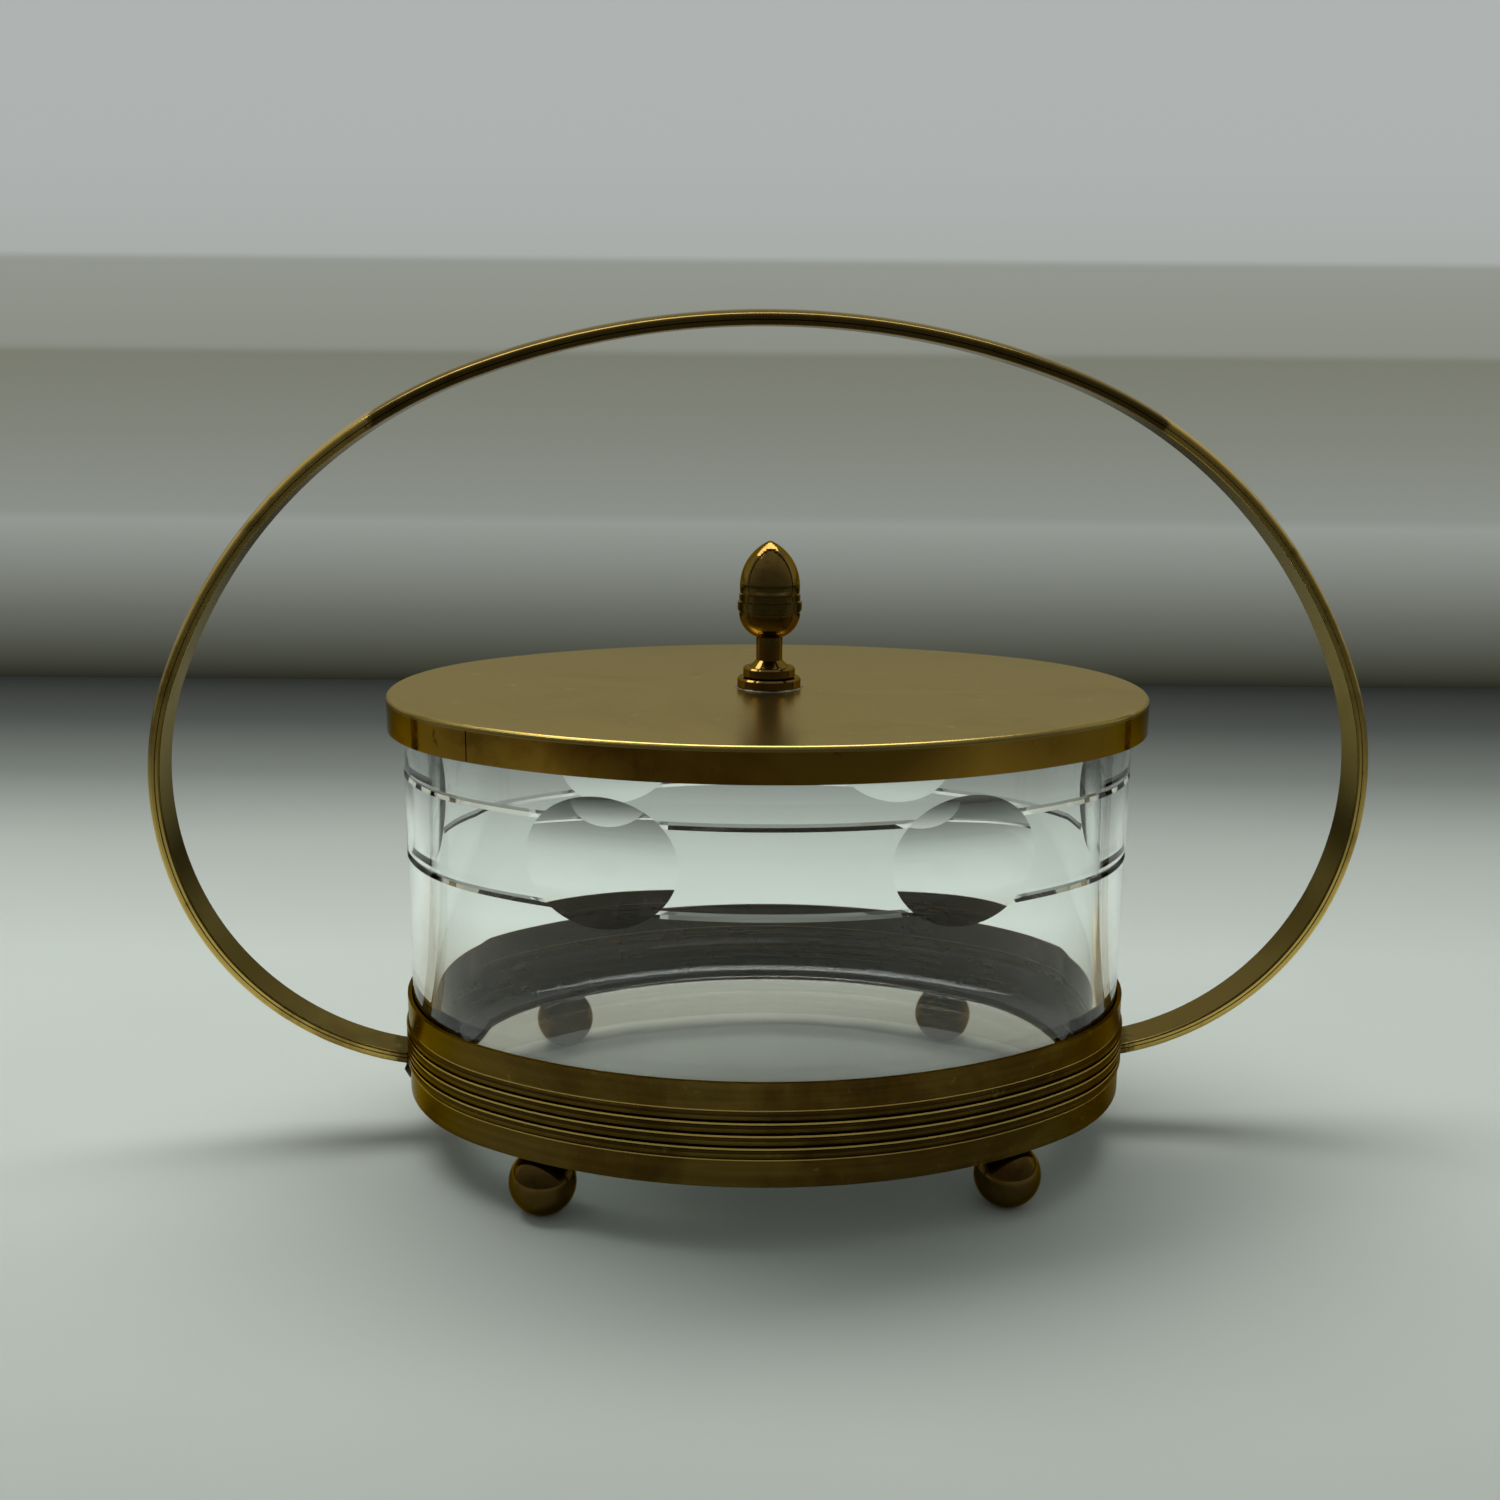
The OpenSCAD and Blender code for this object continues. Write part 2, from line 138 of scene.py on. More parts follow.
class StageSettings(bpy.types.PropertyGroup):
    """Camera, lamps, floor and backdrop."""
    camera_x: length("Camera X", "Camera place along the box", -0.01993)
    camera_y: length("Camera Y", "Camera place in front of the box", -0.31530)
    camera_z: length("Camera Z", "Camera height", 0.14580)
    heading: bpy.props.FloatProperty(name="Heading", description="Camera turn to the right",
                                     default=0.052, subtype="ANGLE")
    pitch: bpy.props.FloatProperty(name="Pitch", description="Camera tilt downwards",
                                   default=0.215, subtype="ANGLE")
    roll: bpy.props.FloatProperty(name="Roll", description="Camera roll",
                                  default=0.008, subtype="ANGLE")
    lens: number("Lens", "Focal length on a 36 mm sensor", 40.28, 10, 200)
    wall_y: length("Backdrop", "How far behind the box the backdrop stands", 0.51)
    floor: shade("Floor", "Colour of the pale floor", (0.56, 0.61, 0.57))
    key: number("Key light", "Power of the soft light above and behind", 13.0, 0, 100)
    fill: number("Fill light", "Power of the soft light in front", 0.9, 0, 100)
    sky: number("Room light", "Strength of the room's light", 0.5, 0, 5)


def brass():
    """The brass colours as they are set now."""
    return bpy.context.scene.box_brass


# ---- node wiring -------------------------------------------------------------------------------

def wire(tree, kind, sockets=None, **fields):
    """Adds a node. A socket given another socket is linked, and one given a value is set."""
    node = tree.nodes.new(kind)
    for field, value in fields.items():
        setattr(node, field, value)
    for key, value in (sockets or {}).items():
        if isinstance(value, bpy.types.NodeSocket):
            tree.links.new(value, node.inputs[key])
        else:
            node.inputs[key].default_value = value
    return node


def sums(tree, operation, a, b=0.0, c=0.0, clamp=False):
    """One Math node's result."""
    return wire(tree, "ShaderNodeMath", {0: a, 1: b, 2: c}, operation=operation,
                use_clamp=clamp).outputs[0]


def above(tree, value, start, slope):
    """How far a value lies above a start, times a slope, kept between 0 and 1."""
    return sums(tree, "MULTIPLY", sums(tree, "SUBTRACT", value, start), slope, clamp=True)


def ramp(tree, value, stops, smooth=True):
    """A ColorRamp with the given (position, colour) stops; a number stands for a grey."""
    node = wire(tree, "ShaderNodeValToRGB", {"Fac": value})
    band = node.color_ramp
    band.interpolation = "EASE" if smooth else "LINEAR"
    while len(band.elements) < len(stops):
        band.elements.new(1.0)
    for element, (place, colour) in zip(band.elements, stops):
        element.position = place
        grey = isinstance(colour, (int, float))
        element.color = (colour, colour, colour, 1) if grey else (*colour, 1)
    return node.outputs["Color"]


def blend_colours(tree, factor, a, b, how="MIX"):
    """The result of mixing two colours, either of which may be a socket."""
    node = tree.nodes.new("ShaderNodeMix")
    node.data_type = "RGBA"
    node.blend_type = how
    for socket, value in ((node.inputs[0], factor), (node.inputs[6], a), (node.inputs[7], b)):
        if isinstance(value, bpy.types.NodeSocket):
            tree.links.new(value, socket)
        else:
            socket.default_value = (*value, 1) if hasattr(value, "__len__") else value
    return node.outputs[2]


def noise(tree, place, scale, detail=4.0, rough=0.55, twist=0.0, stretch=(1, 1, 1),
          shift=(0, 0, 0)):
    """Noise at a scale in waves a metre, stretched and shifted as asked."""
    mapped = wire(tree, "ShaderNodeMapping", {"Vector": place, "Location": shift, "Scale": stretch})
    return wire(tree, "ShaderNodeTexNoise", {"Vector": mapped.outputs[0], "Scale": scale,
                                             "Detail": detail, "Roughness": rough,
                                             "Distortion": twist}).outputs["Fac"]


def effect(name, inputs, outputs, build):
    """A node group with named inputs and outputs, built once."""
    tree = bpy.data.node_groups.get(name)
    if tree:
        return tree
    tree = bpy.data.node_groups.new(name, "ShaderNodeTree")
    kinds = {"f": "NodeSocketFloat", "c": "NodeSocketColor", "v": "NodeSocketVector"}
    for label, kind in inputs:
        tree.interface.new_socket(label, in_out="INPUT", socket_type=kinds[kind])
    for label, kind in outputs:
        tree.interface.new_socket(label, in_out="OUTPUT", socket_type=kinds[kind])
    given = tree.nodes.new("NodeGroupInput").outputs
    results = build(tree, given)
    end = tree.nodes.new("NodeGroupOutput")
    for label, socket in results.items():
        tree.links.new(socket, end.inputs[label])
    return tree


def use(tree, group, **values):
    """Places an effect in a material; an underscore in a name stands for a space."""
    node = tree.nodes.new("ShaderNodeGroup")
    node.node_tree = group
    for label, value in values.items():
        socket = node.inputs[label.replace("_", " ")]
        if isinstance(value, bpy.types.NodeSocket):
            tree.links.new(value, socket)
        else:
            colour = hasattr(value, "__len__") and len(value) == 3 and socket.type == "RGBA"
            socket.default_value = (*value, 1) if colour else value
    return node.outputs


# ---- shared effects ----------------------------------------------------------------------------

def tarnish_effect():
    """Clean metal, soft patches of tarnish over it, a thin bloom in smaller ones, and specks."""
    def build(tree, given):
        place, scale = given["Place"], given["Scale"]
        wide = noise(tree, place, scale, 5, 0.6, 0.6)
        fine = noise(tree, place, sums(tree, "MULTIPLY", scale, 3.1), 6, 0.65, 0.4, shift=(3, 1, 2))
        speck = noise(tree, place, sums(tree, "MULTIPLY", scale, 14), 3, 0.6, shift=(1, 7, 4))
        both = sums(tree, "ADD", sums(tree, "MULTIPLY", wide, 0.7),
                    sums(tree, "MULTIPLY", fine, 0.3))
        bare = sums(tree, "SUBTRACT", 1.0, given["Amount"])
        patch = above(tree, both, sums(tree, "MULTIPLY_ADD", bare, 0.35, 0.325), 7.0)
        bloom = sums(tree, "MULTIPLY", above(tree, fine, 0.52, 8.0), given["Bloom amount"])
        dots = above(tree, speck, 0.66, 14.0)
        colour = blend_colours(tree, patch, given["Clean"], given["Tarnish"])
        colour = blend_colours(tree, bloom, colour, given["Bloom"])
        colour = blend_colours(tree, sums(tree, "MULTIPLY", dots, 0.5), colour, given["Speck"])
        cover = sums(tree, "MAXIMUM", patch, bloom)
        return {"Color": colour, "Cover": cover}
    inputs = [("Place", "v"), ("Scale", "f"), ("Amount", "f"), ("Bloom amount", "f"),
              ("Clean", "c"), ("Tarnish", "c"), ("Bloom", "c"), ("Speck", "c")]
    return effect("Tarnish", inputs, [("Color", "c"), ("Cover", "f")], build)


def scratches_effect():
    """Fine rub marks: three sets of long thin streaks at an angle to each other."""
    def build(tree, given):
        place = given["Place"]
        marks = []
        for turn, shift in ((0.35, 0), (-0.5, 5), (1.3, 9)):
            turned = wire(tree, "ShaderNodeMapping", {"Vector": place, "Rotation": (0, 0, turn),
                                                      "Scale": (0.035, 1, 1)}).outputs[0]
            streak = wire(tree, "ShaderNodeTexNoise", {"Vector": turned, "Scale": given["Scale"],
                                                       "Detail": 2.0, "W": shift},
                          noise_dimensions="4D").outputs["Fac"]
            marks.append(above(tree, streak, 0.62, 9.0))
        all_marks = sums(tree, "MAXIMUM", marks[0], sums(tree, "MAXIMUM", marks[1], marks[2]))
        where = noise(tree, place, 30.0, 2)
        shown = sums(tree, "MULTIPLY", all_marks, above(tree, where, 0.35, 4.0))
        return {"Marks": shown}
    return effect("Rub marks", [("Place", "v"), ("Scale", "f")], [("Marks", "f")], build)


def dents_effect():
    """Slow waves and a few small shallow dents, as a height in metres."""
    def build(tree, given):
        place = given["Place"]
        wave = noise(tree, place, given["Scale"], 2, 0.4)
        hit = wire(tree, "ShaderNodeTexVoronoi", {"Vector": place, "Scale": sums(
            tree, "MULTIPLY", given["Scale"], 1.6)}, feature="SMOOTH_F1").outputs["Distance"]
        pit = above(tree, 0.12, hit, 3.0)
        height = sums(tree, "SUBTRACT", wave, sums(tree, "MULTIPLY", pit, given["Pits"]))
        return {"Height": sums(tree, "MULTIPLY", height, given["Depth"])}
    return effect("Dents", [("Place", "v"), ("Scale", "f"), ("Pits", "f"), ("Depth", "f")],
                  [("Height", "f")], build)


def new_material(name):
    """A new material; returns it, its tree, its shader and its Object coordinates."""
    material = bpy.data.materials.new(name)
    material.use_nodes = True
    tree = material.node_tree
    shader = tree.nodes["Principled BSDF"]
    place = tree.nodes.new("ShaderNodeTexCoord").outputs["Object"]
    return material, tree, shader, place


def relief(tree, shader, height, distance=1.0, strength=1.0, below=None):
    """Drives the shader's normal by a height in metres."""
    sockets = {"Height": height, "Distance": distance, "Strength": strength}
    if below is not None:
        sockets["Normal"] = below
    bump = wire(tree, "ShaderNodeBump", sockets)
    tree.links.new(bump.outputs[0], shader.inputs["Normal"])
    return bump.outputs[0]


def metal(name, clean, tarnish, bloom, speck, scale=28.0, amount=0.5, blooming=0.5,
          smooth=0.2, dull=0.45, dent_scale=60.0, dent_depth=0.00003, pits=0.3, scratch=900.0,
          mark_depth=0.000001, rub=0.12, edge=EDGE_TINT):
    """Tarnished metal: colour and roughness follow the tarnish, with rub marks and slight dents.

    Scales are in waves a metre. Smooth and dull are the roughness of clean and tarnished metal, and
    rub is what the marks add to it. Returns the material, its tree, shader, place and colour."""
    material, tree, shader, place = new_material(name)
    skin = use(tree, tarnish_effect(), Place=place, Scale=scale, Amount=amount,
               Bloom_amount=blooming, Clean=clean, Tarnish=tarnish, Bloom=bloom, Speck=speck)
    marks = use(tree, scratches_effect(), Place=place, Scale=scratch)["Marks"]
    dents = use(tree, dents_effect(), Place=place, Scale=dent_scale, Pits=pits, Depth=dent_depth)
    rough = sums(tree, "MULTIPLY_ADD", skin["Cover"], dull - smooth, smooth)
    rough = sums(tree, "MULTIPLY_ADD", marks, rub, rough, clamp=True)
    shader.inputs["Metallic"].default_value = 1.0
    shader.inputs["Specular Tint"].default_value = (*edge, 1)
    tree.links.new(skin["Color"], shader.inputs["Base Color"])
    tree.links.new(rough, shader.inputs["Roughness"])
    relief(tree, shader, sums(tree, "MULTIPLY_ADD", marks, -mark_depth, dents["Height"]))
    return material, tree, shader, place, skin["Color"]


def recolour(tree, shader, colour):
    """Gives the shader another base colour."""
    tree.links.new(colour, shader.inputs["Base Color"])


# ---- finishes ----------------------------------------------------------------------------------

def darker(colour, share):
    """The colour times a share, which may be over 1 for a lighter one."""
    return [value * share for value in colour]


def band_finish():
    """Old rolled strip: olive tarnish, a grey-green bloom, painted shade in the creases and a
    painted highlight on the fillets between the reeds.

    Lines counts reeds up from the band's middle, and from_line is how far off the nearest boundary
    of two reeds a point is, in reeds: a painted highlight lies on it and painted shade on each
    side."""
    b = brass()
    fillet_edge, crease_middle, crease_slope = 0.075, 0.13, 16.0
    material, tree, shader, place, colour = metal(
        "tarnished band brass", darker(b.hoop, 0.5), darker(b.olive, 0.8), b.grey_green,
        (0.25, 0.17, 0.05), scale=22.0, amount=0.62, blooming=0.3, smooth=0.2, dull=0.34,
        dent_scale=70.0, dent_depth=0.00003, pits=0.2, scratch=700.0, edge=OLD_EDGE_TINT)
    z = wire(tree, "ShaderNodeSeparateXYZ", {0: place}).outputs[2]
    middle = (BAND_LOW.z + BAND_HIGH.z) / 2
    lines = sums(tree, "DIVIDE", sums(tree, "SUBTRACT", z, middle), REED_PITCH)
    inside = sums(tree, "LESS_THAN", sums(tree, "ABSOLUTE", lines), REEDS / 2)
    from_line = sums(tree, "ABSOLUTE", sums(tree, "SUBTRACT", sums(
        tree, "FRACT", sums(tree, "ADD", lines, REEDS / 2 + 0.5)), 0.5))
    fillet = sums(tree, "MULTIPLY", sums(tree, "LESS_THAN", from_line, fillet_edge), inside)
    off_crease = sums(tree, "ABSOLUTE", sums(tree, "SUBTRACT", from_line, crease_middle))
    painted_crease_shade = sums(tree, "MULTIPLY", sums(tree, "SUBTRACT", 1.0, sums(
        tree, "MULTIPLY", off_crease, crease_slope), clamp=True), inside)
    drawn = noise(tree, place, 900.0, 3, 0.6, stretch=(0.03, 0.03, 1))
    grain = ramp(tree, drawn, [(0.3, 0.35), (0.7, 1.0)])
    colour = blend_colours(tree, 0.35, colour, grain, "MULTIPLY")
    # Painted shade darkens the creases, and a painted highlight brightens the fillets.
    colour = blend_colours(tree, sums(tree, "MULTIPLY", painted_crease_shade, 0.6), colour, tuple(b.dark))
    colour = blend_colours(tree, sums(tree, "MULTIPLY", fillet, 0.8), colour, tuple(b.bright))
    recolour(tree, shader, colour)
    return material


def hoop_finish():
    """Drawn strip: gold on the domed face, dark grey-green bloom and painted shade on the inner
    face, dark flux at its ends.
    """
    b = brass()
    hub, flux_reach, flux_slope = (0, 0, 0.07), 0.006, 900.0
    material, tree, shader, place, colour = metal(
        "rubbed hoop brass", darker(b.bright, 1.25), b.hoop, b.olive, b.hoop,
        scale=30.0, amount=0.45, blooming=0.25, smooth=0.17, dull=0.26,
        dent_scale=40.0, dent_depth=0.00002, pits=0.0, scratch=300.0, mark_depth=0.0, rub=0.0)
    x = wire(tree, "ShaderNodeSeparateXYZ", {0: place}).outputs[0]
    normal = wire(tree, "ShaderNodeNewGeometry").outputs["Normal"]
    spoke = wire(tree, "ShaderNodeVectorMath", {0: place, 1: hub}, operation="SUBTRACT")
    facing = wire(tree, "ShaderNodeVectorMath", {0: spoke.outputs[0], 1: normal},
                  operation="DOT_PRODUCT").outputs["Value"]
    # Bloom and painted shade: the inner face, turned towards the hub, is darkened to grey-green.
    inner = above(tree, 0.0, facing, 40.0)
    colour = blend_colours(tree, sums(tree, "MULTIPLY", inner, 0.88), colour, tuple(b.grey_green))
    from_end = sums(tree, "SUBTRACT", sums(tree, "ABSOLUTE", x), BAND_HIGH.x)
    ragged = sums(tree, "MULTIPLY", noise(tree, place, 700.0, 3), flux_reach)
    flux = above(tree, ragged, from_end, flux_slope)
    colour = blend_colours(tree, sums(tree, "MULTIPLY", flux, 0.8), colour, tuple(b.dark))
    recolour(tree, shader, colour)
    return material


def lid_finish():
    """Satin sheet: even colour, faint rub marks and a few slight bruises."""
    b = brass()
    return metal("satin lid brass", b.satin, darker(b.satin, 0.84), b.olive, (0.55, 0.5, 0.36),
                 scale=12.0, amount=0.5, blooming=0.12, smooth=0.24, dull=0.28,
                 dent_scale=22.0, dent_depth=0.00003, pits=0.25, scratch=260.0, rub=0.04)[0]


def rim_finish():
    """Polished strip, with patches of orange-brown tarnish."""
    b = brass()
    return metal("polished rim brass", darker(b.polished, 0.9), (0.20, 0.075, 0.006), b.olive,
                 b.dark, scale=20.0, amount=0.5, blooming=0.3, smooth=0.07, dull=0.15,
                 dent_scale=40.0, dent_depth=0.00004, pits=0.1, scratch=400.0,
                 edge=OLD_EDGE_TINT)[0]


def turned_finish():
    """Turned and polished brass, with patches of tarnish."""
    b = brass()
    return metal("turned finial brass", b.turned, b.olive, b.dark, b.olive,
                 scale=120.0, amount=0.42, blooming=0.25, smooth=0.10, dull=0.24,
                 dent_scale=200.0, dent_depth=0.000005, pits=0.0, scratch=1500.0,
                 mark_depth=0.0, rub=0.0, edge=OLD_EDGE_TINT)[0]


def ball_finish():
    """Dark brass balls, dull in patches."""
    b = brass()
    return metal("dark ball brass", b.ball, b.olive, b.dark, b.olive,
                 scale=110.0, amount=0.42, blooming=0.3, smooth=0.09, dull=0.24,
                 dent_scale=160.0, dent_depth=0.000008, pits=0.1, scratch=1500.0,
                 mark_depth=0.0, rub=0.0, edge=OLD_EDGE_TINT)[0]


def screw_finish():
    """Plain screw, nut and washer."""
    b = brass()
    return metal("screw brass", b.bright, b.hoop, b.olive, b.dark,
                 scale=200.0, amount=0.4, blooming=0.3, smooth=0.2, dull=0.35,
                 dent_scale=300.0, dent_depth=0.00001, pits=0.1, scratch=2500.0)[0]


def solder_finish(name, colour, dark):
    """Soft solder: matt, lumpy, with patches of darker flux."""
    return metal(name, colour, dark, colour, dark,
                 scale=300.0, amount=0.45, blooming=0.2, smooth=0.38, dull=0.6,
                 dent_scale=500.0, dent_depth=0.0001, pits=0.4, scratch=2000.0)[0]


def glass_finish():
    """Clear glass with slow waves in it and faint smears on it; a lamp's light passes through."""
    g = bpy.context.scene.box_glass
    material, tree, shader, place = new_material("clear glass")
    shader.inputs["Base Color"].default_value = (*g.tint, 1)
    shader.inputs["Metallic"].default_value = 0.0
    shader.inputs["Transmission Weight"].default_value = 1.0
    shader.inputs["IOR"].default_value = 1.5
    smear = noise(tree, place, 38.0, 5, 0.6, 0.8, stretch=(1, 1, 0.5))
    patch = above(tree, smear, 0.58, 5.0)
    tree.links.new(sums(tree, "MULTIPLY", patch, g.smear), shader.inputs["Roughness"])
    wave = noise(tree, place, 45.0, 2, 0.4, 0.3, stretch=(1, 1, 0.6))
    relief(tree, shader, sums(tree, "MULTIPLY", wave, g.ripple))
    path = wire(tree, "ShaderNodeLightPath")
    clear = wire(tree, "ShaderNodeBsdfTransparent", {"Color": (0.93, 0.95, 0.94, 1)})
    passing = sums(tree, "MULTIPLY", path.outputs["Is Shadow Ray"], 0.92)
    mix = wire(tree, "ShaderNodeMixShader", {0: passing, 1: shader.outputs[0], 2: clear.outputs[0]})
    tree.links.new(mix.outputs[0], tree.nodes["Material Output"].inputs["Surface"])
    return material


def dress(material, *nodes):
    """Gives the CAD nodes a finish."""
    for name in nodes:
        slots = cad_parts[name].material_slots
        if not slots:
            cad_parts[name].data.materials.append(material)
        for slot in slots:
            slot.material = material


# ---- shapes ------------------------------------------------------------------------------------

MM = 0.001
END_CENTRE, END_RADIUS = 27.0, 43.0
SIDE_CENTRE, SIDE_RADIUS = 36.0, 88.0
HALF_LENGTH = END_CENTRE + END_RADIUS
ARC_TURN = math.atan2(SIDE_CENTRE, END_CENTRE)
GLASS_FOOT_X = GLASS_HIGH.x / MM - 0.4  # the glass is 0.4 mm narrower at its foot, each side
# The holder's oval: each arc's centre, radius, and first and last angle.
ARCS = ((END_CENTRE, 0.0, END_RADIUS, -ARC_TURN, ARC_TURN),
        (0.0, -SIDE_CENTRE, SIDE_RADIUS, ARC_TURN, math.pi - ARC_TURN),
        (-END_CENTRE, 0.0, END_RADIUS, math.pi - ARC_TURN, math.pi + ARC_TURN),
        (0.0, SIDE_CENTRE, SIDE_RADIUS, math.pi + ARC_TURN, 2 * math.pi - ARC_TURN))
# The hoop's direction (along, up) where each of its arcs starts, from its top down to its heel.
HOOP_TURNS = ((0.0, 1.0), (0.352, 0.936), (0.936, 0.352), (0.936, -0.352))


def outline(inset, spread):
    """Columns round the oval, spaced alike, and the distance round it. A column holds its arc's
    centre and radius, its angle, its distance along the oval and its arc's number.

    The oval is four arcs end to end, each turned about its own centre. Moved in by the inset, an
    arc keeps its centre and its angles, and its radius is shorter by the inset."""
    parts, start = [], 0.0
    for arc_index, (x, y, radius, low, high) in enumerate(ARCS):
        run = (radius - inset) * (high - low)
        count = round(run / spread)
        angle = low + (high - low) * np.arange(count) / count
        parts.append(np.stack([np.full(count, x), np.full(count, y), np.full(count, radius - inset),
                               angle, start + (radius - inset) * (angle - low),
                               np.full(count, arc_index)], 1))
        start += run
    return np.concatenate(parts), start


def on_outline(columns, offset, height):
    """Points off the outline at a height: centre + (radius + offset) in the column's direction."""
    x, y, radius, angle = columns[:, 0], columns[:, 1], columns[:, 2], columns[:, 3]
    reach = radius + offset
    return np.stack([x + reach * np.cos(angle), y + reach * np.sin(angle),
                     np.full(len(columns), 1.0) * height], 1)


def facing(angle, out, up):
    """Directions that lean outwards and upwards by the given parts."""
    size = np.sqrt(out * out + up * up)
    return np.stack([np.cos(angle) * out / size, np.sin(angle) * out / size,
                     np.ones_like(angle) * up / size], 1)


def mesh_piece(name, points, faces, normals, body, material):
    """Makes a closed piece from points in millimetres, with a direction for every face corner."""
    mesh = bpy.data.meshes.new(name)
    mesh.from_pydata((points * MM).tolist(), [], faces)
    mesh.polygons.foreach_set("use_smooth", np.ones(len(mesh.polygons), bool))
    if normals is not None:
        mesh.normals_split_custom_set(normals.reshape(-1, 3).tolist())
    mesh.materials.append(material)
    piece = bpy.data.objects.new(name, mesh)
    bpy.context.scene.collection.objects.link(piece)
    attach(piece, body)
    return piece


def strip_section(g):
    """The strip's section: across, outwards, and the lean of each point's direction.

    A bowed face runs into a round of radius bead, then an edge with a fine groove, a smaller round
    and a flat inside. The other half is its mirror image."""
    mm = 1 / MM
    half, crown, thick, bead = g.width * mm / 2, g.crown * mm, g.thickness * mm, g.bead * mm
    small, groove, nick = bead / 2, 0.12, 0.01
    reach = half - bead
    for _ in range(20):
        lean = math.atan(2 * crown * reach / half ** 2)
        reach = half - bead + bead * math.sin(lean)
    bow = np.linspace(0, reach, 8)
    fall = crown * (reach / half) ** 2 + bead * math.cos(lean)
    turn = np.linspace(lean, math.pi / 2, 8)[1:]
    end = thick - small
    cut = (fall + end) / 2
    under = np.linspace(math.pi / 2, math.pi, 6)
    across = [*bow, *(half - bead + bead * np.sin(turn)), half, half - nick, half - groove,
              half - groove, half - nick, half, *(half - small + small * np.sin(under))]
    out = [*(-crown * (bow / half) ** 2), *(-fall + bead * np.cos(turn)), -cut + groove,
           -cut + groove - nick, -cut + nick, -cut - nick, -cut - groove + nick, -cut - groove,
           *(-end + small * np.cos(under))]
    edge, upper, lower = math.pi / 2, 0.75 * math.pi, 0.25 * math.pi
    leans = [*np.arctan(2 * crown * bow / half ** 2), *turn, edge, upper, upper, lower, lower, edge,
             *under]
    across, out, leans = map(np.array, (across, out, leans))
    return (np.concatenate([across[::-1], -across[1:]]), np.concatenate([out[::-1], out[1:]]),
            np.concatenate([leans[::-1], -leans[1:]]))


def hoop_shape(g):
    """The hoop: its section carried along a chain of arcs, and cut off upright at the band.

    Each arc starts in line with the one before it, so its centre lies on that one's last radius.
    The left half is the right half's mirror image."""
    across, out, leans = strip_section(g)
    ring_turn, heel_rings = 0.025, 50
    radii = np.array([g.crown_radius, g.shoulder, g.side, g.heel]) / MM
    turns = [math.atan2(along, up) for along, up in HOOP_TURNS]
    stop = BAND_HIGH.x / MM
    centre = np.array([0.0, HOOP_HIGH.z / MM - radii[0]])
    rings, ways = [], []
    for i, (radius, start) in enumerate(zip(radii, turns)):
        if i:
            centre = centre + (radii[i - 1] - radius) * np.array([math.sin(start), math.cos(start)])
        reach = radius + out
        if i + 1 < len(turns):
            angle = np.arange(start, turns[i + 1], ring_turn)[:, None] + 0 * out
        else:
            last = math.pi - np.arcsin((stop - centre[0]) / reach)
            share = np.linspace(0, 1, heel_rings)[:, None]
            angle = start + (last - start) * share
        rings.append(np.stack([centre[0] + reach * np.sin(angle), across + 0 * angle,
                               centre[1] + reach * np.cos(angle)], 2))
        ways.append(np.stack([np.cos(leans) * np.sin(angle), np.sin(leans) + 0 * angle,
                              np.cos(leans) * np.cos(angle)], 2))
    rings, ways = np.concatenate(rings), np.concatenate(ways)
    mirror = np.array([-1.0, 1.0, 1.0])
    rings = np.concatenate([rings[:0:-1] * mirror, rings])
    ways = np.concatenate([ways[:0:-1] * mirror, ways])
    count, wide = rings.shape[:2]
    index = np.arange(count * wide).reshape(count, wide)
    after = np.roll(index, -1, 1)
    corners = np.stack([index[:-1], after[:-1], after[1:], index[1:]], 2).reshape(-1, 4)
    flat = ways.reshape(-1, 3)
    low_cap, high_cap = index[0][::-1], index[-1]
    caps = np.repeat([[-1.0, 0, 0], [1.0, 0, 0]], wide, 0)
    normals = np.concatenate([flat[corners.ravel()], caps])
    return rings.reshape(-1, 3), corners.tolist() + [low_cap.tolist(), high_cap.tolist()], normals


def solder_shape():
    """A ragged fillet of solder round the finial's foot, as a closed ring.

    Its section is a thin wedge whose width and height follow a sum of waves round the foot."""
    low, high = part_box("finial_step")
    radius, base = high.x / MM, low.z / MM
    turn = np.linspace(0, 2 * math.pi, 240, endpoint=False)
    ragged = sum(np.sin(waves * turn + waves * waves) / share
                 for waves, share in ((2, 3.0), (5, 3.5), (11, 4.5), (23, 7.0)))
    lump = np.clip(0.45 + 0.55 * ragged, 0.05, 1.0)
    width, height = 0.15 + 0.85 * lump, 0.12 + 0.33 * lump
    rows = ((radius + width, 0 * turn), (radius + 0.45 * width, 0.55 * height),
            (radius + 0 * turn, height), (radius + 0 * turn, 0 * turn))
    points = np.concatenate([np.stack([reach * np.cos(turn), reach * np.sin(turn), base + rise], 1)
                             for reach, rise in rows])
    step = np.arange(len(turn))
    after = (step + 1) % len(turn)
    faces = [np.stack([a * len(turn) + step, a * len(turn) + after, b * len(turn) + after,
                       b * len(turn) + step], 1) for a, b in ((0, 1), (1, 2), (2, 3), (3, 0))]
    return points, np.concatenate(faces).tolist(), None


FADE = 0.12  # the share of a window's half-width over which a cut line runs out beside it


